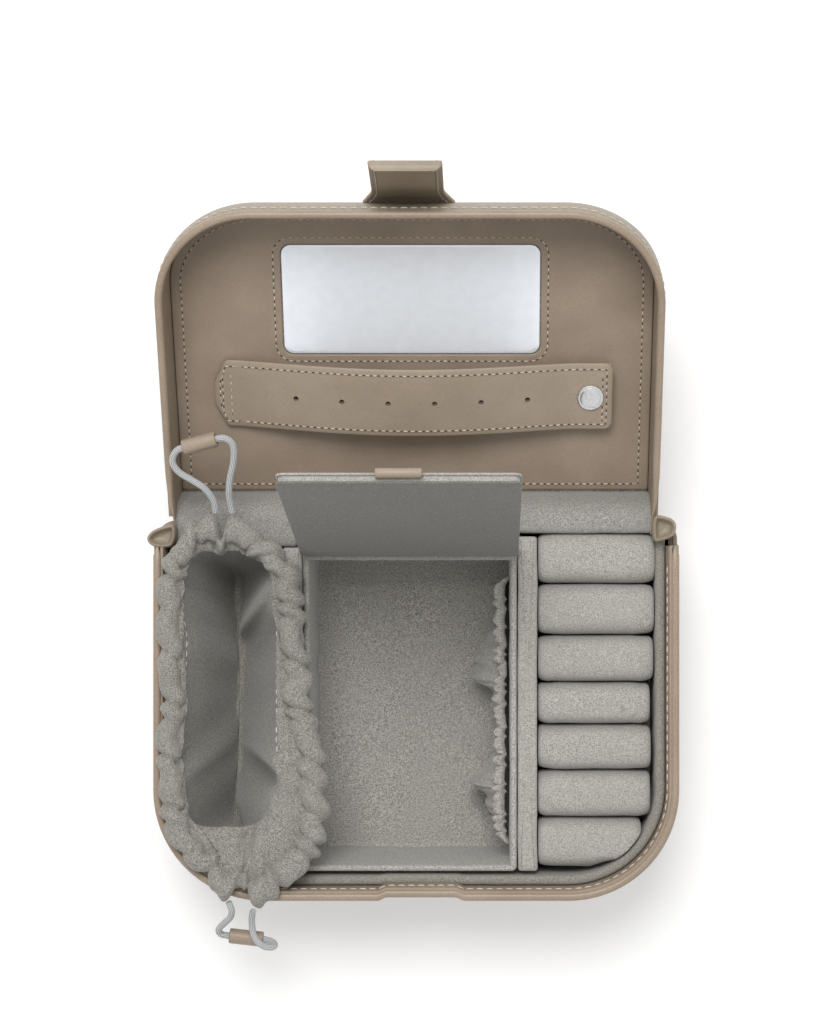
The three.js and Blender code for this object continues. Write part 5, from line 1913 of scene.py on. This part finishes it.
@dataclass
class EarringStrap:
    """The leather strap for earrings: sewn down at its left end, arched over the panel and snapped at the right."""

    length: float = 126.0
    width: float = 22.5
    start: float = 31.0
    leather: float = 1.3
    backing: float = 0.6
    arch: float = 8.2
    anchor: float = 7.0
    chamfer: float = 7.5
    snap_flat: float = 13.0
    stack: float = 2.6
    low: float = -20.9
    hole_pitch: float = 14.6
    hole_offset: float = -0.4
    hole_count: int = 6
    hole_radius: float = 0.85
    cap_radius: float = 4.25
    snap_inset: float = 7.0
    corner_radius: float = 2.4
    seam_inset: float = 1.9
    seam_split: float = 8.6

    def middle(self) -> float:
        """How far up the lid the strap's middle line is."""
        return self.start + self.width / 2

    def level(self, x: Points) -> Points:
        """Height of the strap's underside: half a sine over the arch, on a line that climbs to the snap's height."""
        seam = -self.length / 2 + self.anchor
        flat = self.length / 2 - self.snap_flat
        t = np.clip((x - seam) / (flat - seam), 0, 1)
        climb = self.low + self.backing + 0.3 + self.stack * t
        left = smoothstep((x + self.length / 2) / self.anchor) * 0.6
        return climb + (self.arch - self.stack / 2) * np.sin(np.pi * t) ** 1.15 - 0.6 + left

    def outline(self, inset: float) -> Points:
        """The strap's plan: chamfered at the left, with small round corners at the right, as a closed loop."""
        half, low, high = self.length / 2, self.start, self.start + self.width
        slant = -half + self.chamfer * 0.5
        edge = -half + inset
        left = np.array([
            [slant, low + inset], [edge, low + self.chamfer], [edge, high - self.chamfer], [slant, high - inset],
        ])
        r = self.corner_radius
        top, _ = arc_points(half - r, high - r, r - inset, 90, 0, 6)
        bottom, _ = arc_points(half - r, low + r, r - inset, 0, -90, 6)
        across = np.linspace(slant, half - r, 90)[1:-1]
        upper = np.stack([across, np.full(len(across), high - inset)], axis=-1)
        lower = np.stack([across[::-1], np.full(len(across), low + inset)], axis=-1)
        corners = np.concatenate([resample(left[0:2], 5), resample(left[1:3], 9)[1:], resample(left[2:4], 5)[1:]])
        return np.concatenate([corners, upper, top, bottom, lower])

    def strip(self) -> bpy.types.Object:
        """The strap: a grid of stations along it by a rounded section across it, with its holes cut through.

        At each station the section's half width comes from the plan, so the left end is chamfered, and its height from
        the arch. The middle swells by a fifth of a millimetre between its seams.
        """
        half = self.length / 2
        x = np.linspace(-half, half, 150)
        x[[0, -1]] = -half + 0.06, half - 0.06
        corner = np.clip((x + half) / (self.chamfer * 0.5), 0, 1)
        reach = self.width / 2 - (1 - corner) * self.chamfer
        reach = reach - self.corner_radius * (1 - quarter_round((half - x) / self.corner_radius))
        angle = full_turn(72)
        across, up = signed_power(np.cos(angle), 0.32), signed_power(np.sin(angle), 0.75)
        edge = np.minimum(x + half, half - x)
        thick = self.leather / 2 * np.maximum(quarter_round(edge / 0.65), 0.3)
        swell = 0.22 * (1 - np.abs(across) ** 4)[None] * np.clip(edge / 6, 0, 1)[:, None] * (up > 0)
        y = self.middle() + across[None] * reach[:, None]
        z = self.level(x)[:, None] + self.leather / 2 + up[None] * thick[:, None] + swell
        grid = np.stack([np.broadcast_to(x[:, None], y.shape), y, z], axis=-1)
        piece = self.punched(Shell("earring_strap_leather").grid(grid).build(50.0))
        bend = Bend("lid", "strap", LID.place((-57.5, 42.2, -19.0)), LID.place((-53.5, 42.2, -19.0)))
        return finish_piece(piece, LEATHER_LIGHT, bend, "earring_strap", "strap_anchor")

    def tilt(self) -> Matrix:
        """The lid's place as a matrix in metres."""
        move = Matrix.Translation(Vector([v * MILLIMETRE for v in LID.origin]))
        return move @ Matrix.Rotation(math.radians(LID.angle), 4, "X")

    def hole_places(self) -> Points:
        """Where the holes are along the strap."""
        return (np.arange(self.hole_count) - (self.hole_count - 1) / 2) * self.hole_pitch + self.hole_offset

    def punched(self, piece: bpy.types.Object) -> bpy.types.Object:
        """Cuts the round holes through a piece that lies flat, and tilts it into the lid's place."""
        shell = Shell("punch")
        angle = full_turn(24)
        circle = self.hole_radius * np.stack([np.cos(angle), np.sin(angle)], axis=-1)
        for x in self.hole_places():
            ring = circle + [x, self.middle()]
            shell.grid(np.stack([raised(ring, -30.0), raised(ring, 5.0)]))
        tool = shell.build()
        cut = piece.modifiers.new("holes", "BOOLEAN")
        cut.operation = "DIFFERENCE"
        cut.solver = "EXACT"
        cut.object = tool
        done = bpy.data.meshes.new_from_object(piece.evaluated_get(bpy.context.evaluated_depsgraph_get()))
        piece.modifiers.clear()
        piece.data = done
        piece.data.shade_smooth()
        piece.data.set_sharp_from_angle(angle=math.radians(50))
        bpy.data.objects.remove(tool)
        piece.data.transform(self.tilt())
        return piece

    def lining(self) -> bpy.types.Object:
        """The strap's suede backing, a thin sheet under its arch."""
        half = self.length / 2
        x = np.linspace(-half + self.anchor + 0.5, half - 0.7, 100)
        section = soft_section(self.start + 0.6, self.start + self.width - 0.6, -self.backing - 0.15, -0.15, 0.22, 3)
        y = np.broadcast_to(section[None, :, 0], (len(x), len(section)))
        z = self.level(x)[:, None] + section[None, :, 1]
        grid = np.stack([np.broadcast_to(x[:, None], y.shape), y, z], axis=-1)
        piece = self.punched(Shell("strap_suede_backing").grid(grid).build())
        return finish_piece(piece, SUEDE, "strap", "strap_backing")

    def seams(self) -> tuple[bpy.types.Object, bpy.types.Object]:
        """The seam round the strap and the two short seams that hold its left end down."""
        loop = self.outline(self.seam_inset)
        right = loop[loop[:, 0] > -self.length / 2 + self.seam_split]
        at = np.linspace(-self.length / 2, self.length / 2, 400)
        slope = np.interp(right[:, 0], at, np.gradient(self.level(at), at))
        up = np.stack([-slope, np.zeros(len(slope)), np.ones(len(slope))], axis=-1)
        end_row = self.on_top(self.cross_line(self.length / 2 - 3.2, 3.0))
        rows = [(self.on_top(right), up), (end_row, UP)]
        round_it = sew("strap_stitches", rows, "strap", FINE_SEAM, LID, THREAD_DARK)
        left = loop[loop[:, 0] < -self.length / 2 + self.seam_split + 0.2]
        lows, highs = left[left[:, 1] < self.middle()], left[left[:, 1] >= self.middle()]
        end = np.concatenate([lows[np.argsort(-lows[:, 0])], highs[np.argsort(highs[:, 0])]])
        across = [self.cross_line(-self.length / 2 + from_end, 4.2) for from_end in (2.7, 5.4)]
        rows = [(self.on_top(plan), UP) for plan in (end, *across)]
        return round_it, sew("strap_end_stitches", rows, "lid", FINE_SEAM, LID, THREAD_DARK)

    def on_top(self, plan: Points) -> Points:
        """Points in plan, just above the strap's upper face."""
        return raised(plan, self.level(plan[:, 0]) + self.leather + 0.1)

    def cross_line(self, x: float, margin: float) -> Points:
        """A line across the strap, in plan."""
        y = np.linspace(self.start + margin, self.start + self.width - margin, 20)
        return np.stack([np.full(20, x), y], axis=-1)

    def cap(self) -> bpy.types.Object:
        """The snap's round cap: a low dome with a rolled edge and one shallow ring, turned round its axis."""
        x = self.length / 2 - self.snap_inset
        base = float(self.level(np.array(x))) + self.leather + 0.12
        r = self.cap_radius
        profile = np.array([
            [0.02, 0.0], [r * 0.9, 0.0], [r, 0.18], [r, 0.45], [r * 0.97, 0.68], [r * 0.9, 0.82], [r * 0.83, 0.84],
            [r * 0.79, 0.8], [r * 0.76, 0.86], [r * 0.6, 1.0], [r * 0.4, 1.12], [r * 0.2, 1.19], [0.02, 1.21],
        ])
        turn = full_turn(64)
        out = profile[:, :1]
        flat = np.stack([x + out * np.cos(turn), self.middle() + out * np.sin(turn)], axis=-1)
        grid = raised(flat, base + profile[:, 1:])
        return make_piece("snap_cap", grid, STEEL, "strap", "strap_snap_cap", place=LID, sharp=35.0)

    def make(self) -> None:
        """Builds the strap's pieces."""
        self.strip()
        self.lining()
        self.seams()
        self.cap()


@dataclass
class ClosingTab:
    """The closing tab: one strap of leather sewn to the lid's free wall, with a lining that holds the magnet."""

    width: float = 22.0
    centre: float = -0.5
    thickness: float = 1.6
    pivot: tuple[float, float] = (116.0, -4.2)
    lean: float = 37.0
    wall_y: float = 108.6
    bow: float = 1.5

    def path(self, count: int) -> Points:
        """The strap's middle line in depth and height: down the wall, out past the rim and up to the tip.

        It is one smooth curve through the wall, the bend and the leaning part, whose last millimetres curl back.
        """
        c, s = math.cos(math.radians(self.lean)), math.sin(math.radians(self.lean))
        half = self.thickness / 2
        y, z = self.pivot

        def lean_point(along: float, aside: float) -> list[float]:
            """A point of the leaning part."""
            return [y + s * along + c * aside, z + c * along - s * aside]

        wall = np.array([-22.6, -20.6, -18.8])
        foot = np.stack([self.wall_y - 0.2 + 0.225 * (wall + 5.0), wall], axis=-1)
        leaning = [lean_point(along, half) for along in (-14.2, -11.0, -7.5, -4.0, -0.5, 3.0, 7.0, 11.0, 14.0)]
        curl = [lean_point(along, half - back) for along, back in ((16.4, 0.1), (18.0, 0.7), (18.6, 1.9), (18.3, 3.0))]
        return open_curve(np.concatenate([foot, leaning, curl]), count)

    def band(self, line: Points, half_width: Points, low: float, high: float, radius: float, soften: float) -> Points:
        """A strap of a rounded section along a line of (depth, height) points.

        Args:
            line: The middle line.
            half_width: Half the width at each point.
            low: Where the section starts, square to the line.
            high: Where it ends.
            radius: The section's corner radius.
            soften: How far the tip is rounded in.

        Returns:
            The grid, in the lid's flat place.
        """
        section = soft_section(-1.0, 1.0, low, high, radius, 4)
        cross = gathered_in(section[:, 0], 0.12)
        along = run_length(line)
        near = along[-1] - along
        tip = 1 - soften * (1 - quarter_round(near / 3.2))
        x = self.centre + cross[None] * (half_width * tip)[:, None]
        flat = line[:, None] + right_side(line)[:, None] * section[None, :, 1:]
        bow = self.bow * smoothstep((5.5 - near) / 5.5)[:, None] * (1 - cross[None] ** 2)
        flat[..., 0] -= bow
        flat[..., 1] -= 0.35 * bow
        return np.concatenate([x[..., None], flat], axis=-1)

    def make(self) -> None:
        """Builds the leather, its lining and its seams."""
        line = self.path(90)
        tip_share = np.linspace(0, 1, len(line))
        flare = 3.2 * (1 - np.clip((tip_share - 0.12) / 0.26, 0, 1)) ** 2.0
        half = self.width / 2 - 0.1 + flare
        face = self.thickness / 2
        grid = self.band(line, half, -face, face, 0.5, 0.16)
        c, s = self.centre, self.pivot
        bend = Bend("lid", "tab", LID.place((c, s[0] - 2.2, s[1] - 2.9)), LID.place((c, s[0] + 1.6, s[1] + 2.1)))
        make_piece("closing_tab_leather", grid, LEATHER, bend, "tab_leather", "tab_root", place=LID, sharp=50.0)
        inside = line[(tip_share > 0.46) & (tip_share < 0.9)]
        lining = self.band(inside, np.full(len(inside), self.width / 2 - 2.5), -face - 0.7, -face + 0.1, 0.25, 0.1)
        nodes = ("tab_lining", "tab_magnet")
        make_piece("closing_tab_lining", lining, LEATHER_INNER, bend, *nodes, place=LID, sharp=50.0)
        rows = []
        normal = right_side(line)
        for side in (-1, 1):
            x = (self.centre + side * (half - 1.7))[:, None]
            for out in (1, -1):
                row = np.concatenate([x, line + normal * (face + 0.05) * out], axis=1)
                up = np.concatenate([np.zeros_like(x), normal * out], axis=1)
                rows.append((row[3:-6], up[3:-6]))
        sew("closing_tab_stitches", rows, bend, Seam(pitch=2.4, length=1.7, width=0.4, rise=0.22), LID)


@dataclass
class BoxFlap:
    """The flap that covers the lift-out box: a lining and a cover round a board, with a folded leather pull tab."""

    width: float = 69.0
    start: float = 0.3
    length: float = 96.0
    cover: float = 0.8
    tab_width: float = 13.0
    tab_reach: float = 6.0
    tab_low: float = -3.75
    tab_radius: float = 0.95
    tab_leather: float = 0.75
    outside: float = -3.2

    def sheet(
        self, name: str, bottom: float, top: float, crown: float, finish: Finish, node: str, seed: int
    ) -> bpy.types.Object:
        """One face of the flap: a thin rounded slab, with a slow wave in its surface.

        Args:
            name: The piece's name.
            bottom: Height of its lower face in the flap's own place.
            top: Height of its upper face.
            crown: How much its middle rises.
            finish: Its cloth.
            node: The CAD node that it stands for.
            seed: Number of its wave.

        Returns:
            The piece.
        """
        half = self.width / 2
        plan = rounded_plan(-half, half, self.start, self.start + self.length, 2.4, 2.0, 7)
        grid = slab(plan, bottom, top, min((top - bottom) / 2 - 0.02, 0.55), 5, crown)
        x, y = grid[..., 0], grid[..., 1]
        depth = np.minimum(half - np.abs(x), self.length / 2 - np.abs(y - self.start - self.length / 2))
        grid[..., 2] += 0.1 * ripple(x / 160 + y / 230, seed) * np.clip(depth / 8, 0, 1)
        return make_piece(name, grid, finish, "flap", node, place=FLAP, sharp=45.0)

    def core(self) -> bpy.types.Object:
        """The board between the two cloths, whose cloth-covered edge closes the gap between them."""
        half = self.width / 2 - 0.7
        plan = rounded_plan(-half, half, self.start + 0.6, self.start + self.length - 0.7, 2.0, 4.0, 7)
        grid = slab(plan, -2.55, -0.65, 0.4, 4)
        return make_piece("flap_core", grid, SUEDE, "flap", "flap_board", place=FLAP, sharp=45.0, slot="board")

    def pull(self) -> bpy.types.Object:
        """The pull tab: a strip of leather under the cover that loops round past the free edge, swept across."""
        end = self.start + self.length
        low, radius, leather = self.tab_low, self.tab_radius, self.tab_leather
        turn = np.radians(np.linspace(-90, 90, 15))
        fold = np.stack([end + 1.15 + radius * np.cos(turn), low + radius + radius * np.sin(turn)], axis=-1)
        start = np.stack([np.linspace(end - self.tab_reach, end + 0.8, 6), np.full(6, low)], axis=-1)
        path = np.concatenate([start, fold, [[end + 0.6, low + 2 * radius]], [[end - 0.15, low + 2 * radius]]])
        section = soft_section(-1.0, 1.0, -leather / 2, leather / 2, 0.3, 4)
        cross = gathered_in(section[:, 0], 0.1) * self.tab_width / 2
        flat = path[:, None] - right_side(path)[:, None] * section[None, :, 1:]
        x = np.broadcast_to(cross[None, :, None], flat.shape[:2] + (1,))
        grid = np.concatenate([x, flat], axis=-1)
        return make_piece("flap_pull_leather", grid, LEATHER_LIGHT, "flap", "flap_pull_tab", place=FLAP, sharp=45.0)

    def hinge(self) -> bpy.types.Object:
        """The cloth hinge of the flap: a strip with a rounded top along the box's back edge."""
        box = LiftOutBox()
        plan = rounded_plan(box.x0, box.x1, box.y1 - box.wall, box.y1, 0.5, 4.0, 4)
        grid = slab(plan, box.top, box.top + 0.6, 0.25, 4)
        return make_piece("flap_hinge_cloth", grid, SUEDE, "base", "flap_hinge_strip")

    def make(self) -> None:
        """Builds the flap's pieces."""
        # the lining's darker weave is painted shade
        self.sheet("flap_inner_cloth", -self.cover, 0.0, 0.25, SHADED_FLAP_WEAVE, "flap_lining", 61)
        self.core()
        self.sheet("flap_outer_cloth", self.outside, self.outside + self.cover, 0.0, SUEDE, "flap_cover", 62)
        self.pull()
        self.hinge()


@dataclass
class SoftHinge:
    """The leather spine, its lining and the gusset loops at both ends."""

    half: float = 75.9
    centre: float = -1.0
    left_step: tuple[float, float] = (-36.6, 4.4)
    ear_foot: float = 44.5
    ear_hollow: float = 50.7

    def strip(
        self, name: str, line: Sequence[Sequence[float]], thickness: float, finish: Finish, node: str, bend: Bend,
        forward: float = 0.0,
    ) -> bpy.types.Object:
        """A folded strip along X: a smooth (depth, height) line with a thickness to its right, swept across.

        Args:
            name: The piece's name.
            line: The fold's line.
            thickness: The strip's thickness.
            finish: Its finish.
            node: The CAD node that it stands for.
            bend: The stretch between the base and the lid; the strip is not bent over it.
            forward: 1 if its front edge comes forward behind the pouch, where the compartment ends sooner.

        Returns:
            The piece.
        """
        path = open_curve(np.array(line), 60)
        loop = np.concatenate([path, (path + right_side(path) * thickness)[::-1]])
        across = np.linspace(-1, 1, 121)
        x = self.centre + self.half * across
        wave = 0.12 * ripple(1.5 + 1.5 * across, 71)
        grid = np.empty((len(x), len(loop), 3))
        grid[..., 0] = x[:, None]
        grid[..., 1:] = loop[None]
        grid[..., 1] += wave[:, None]
        step = smoothstep((self.left_step[0] - x) / 2.0)[:, None] * self.left_step[1]
        grid[..., 1] -= forward * step * np.clip((61.0 - loop[None, :, 0]) / 4.5, 0, 1)
        return make_piece(name, grid, finish, bend, node, sharp=60.0)

    def gusset(self, name: str, controls: Sequence[Sequence[float]], hinge_x: float) -> bpy.types.Object:
        """The soft loop of leather at one end of the hinge, which bulges out past the wall and is hollow at the top.

        Its rings go up the outer face, over the rolled edge and down the inside to the floor of the hollow.

        Args:
            name: Which end it is at.
            controls: The loop's plan.
            hinge_x: Where the wall meets it.

        Returns:
            The piece.
        """
        loop = periodic_curve(np.array(controls), 72)
        along = unit(np.roll(loop, -1, axis=0) - np.roll(loop, 1, axis=0))
        inward = np.stack([-along[:, 1], along[:, 0]], axis=-1)
        middle = loop.mean(axis=0)
        inward *= np.sign(np.sum((middle - loop) * inward, axis=1, keepdims=True))
        section = np.array([
            [0.5, 44.6], [0.1, 46.0], [-0.05, 49.0], [0.0, 51.8], [0.12, 52.9], [0.38, 53.5], [0.7, 53.7], [1.0, 53.5],
            [1.2, 52.9], [1.4, 52.1], [1.8, 51.4], [2.4, 51.0],
        ])
        rings = Plan(loop, inward).stack(section)
        shares = np.array([0.75, 0.5, 0.25, 0.02])
        hollow = shrunk(rings[-1], np.array([*middle, self.ear_hollow]), shares)
        below = shrunk(rings[0], np.array([*middle, self.ear_foot]), shares[::-1])
        grid = np.concatenate([below, rings, hollow])
        bend = Bend("base", "lid", (hinge_x, middle[1] - 1.0, 50), (hinge_x, middle[1] + 4.0, 50))
        return make_piece(f"{name}_hinge_gusset", grid, LEATHER, bend, f"{name}_corner_gusset", sharp=60.0)

    def make(self) -> None:
        """Builds the hinge's pieces."""
        spine = (
            (60.2, 32.5), (60.2, 38.0), (60.2, 44.0), (60.55, 45.5), (61.4, 46.0), (62.3, 45.6), (62.75, 44.2),
            (62.75, 36.0), (62.75, 27.5),
        )
        bend = Bend("base", "lid", (0, 62.0, 45.9), (0, 64.8, 45.6))
        self.strip("spine_leather_fold", spine, -0.85, LEATHER, "spine_leather", bend)
        lining = (
            (56.5, 34.0), (56.5, 40.0), (56.5, 45.2), (57.1, 46.5), (59.0, 46.9), (61.2, 46.8), (63.4, 45.8),
            (65.6, 43.3), (67.2, 39.4), (68.2, 35.4), (68.7, 32.0), (68.9, 30.9),
        )
        bend = Bend("base", "lid", (0, 57.5, 47.0), (0, 63.0, 47.0))
        # the darker weave paints the shade in the valley between base and lid
        cloth = self.strip("spine_cloth_fold", lining, -0.5, SHADED_HINGE_WEAVE, "spine_lining", bend, 1.0)
        right = (
            (75.4, 61.4), (79.0, 61.3), (81.5, 60.0), (82.2, 57.7), (81.4, 55.4), (78.8, 53.9), (75.4, 53.5),
            (74.6, 57.4),
        )
        left = (
            (-76.6, 58.6), (-80.1, 58.2), (-83.6, 56.7), (-85.1, 54.6), (-84.3, 52.6), (-81.6, 51.5), (-77.4, 51.8),
            (-76.0, 55.0),
        )
        self.gusset("left", left, -79.0)
        self.gusset("right", right, 77.0)


def main() -> None:
    """Builds the studio, the cords and every sub-assembly, in that order."""
    logging.basicConfig(level=logging.INFO, format="%(name)s: %(message)s")
    Studio().make()
    dress_nodes()
    Drawcord(End.BACK, BACK_ROUTE, 9).cord()
    Drawcord(End.FRONT, FRONT_ROUTE, 8).cord()
    for part in (BaseShell, Tray, LiftOutBox, RingRolls, Pouch, Lid, EarringStrap, ClosingTab, BoxFlap, SoftHinge):
        part().make()


if __name__ == "__main__":
    main()
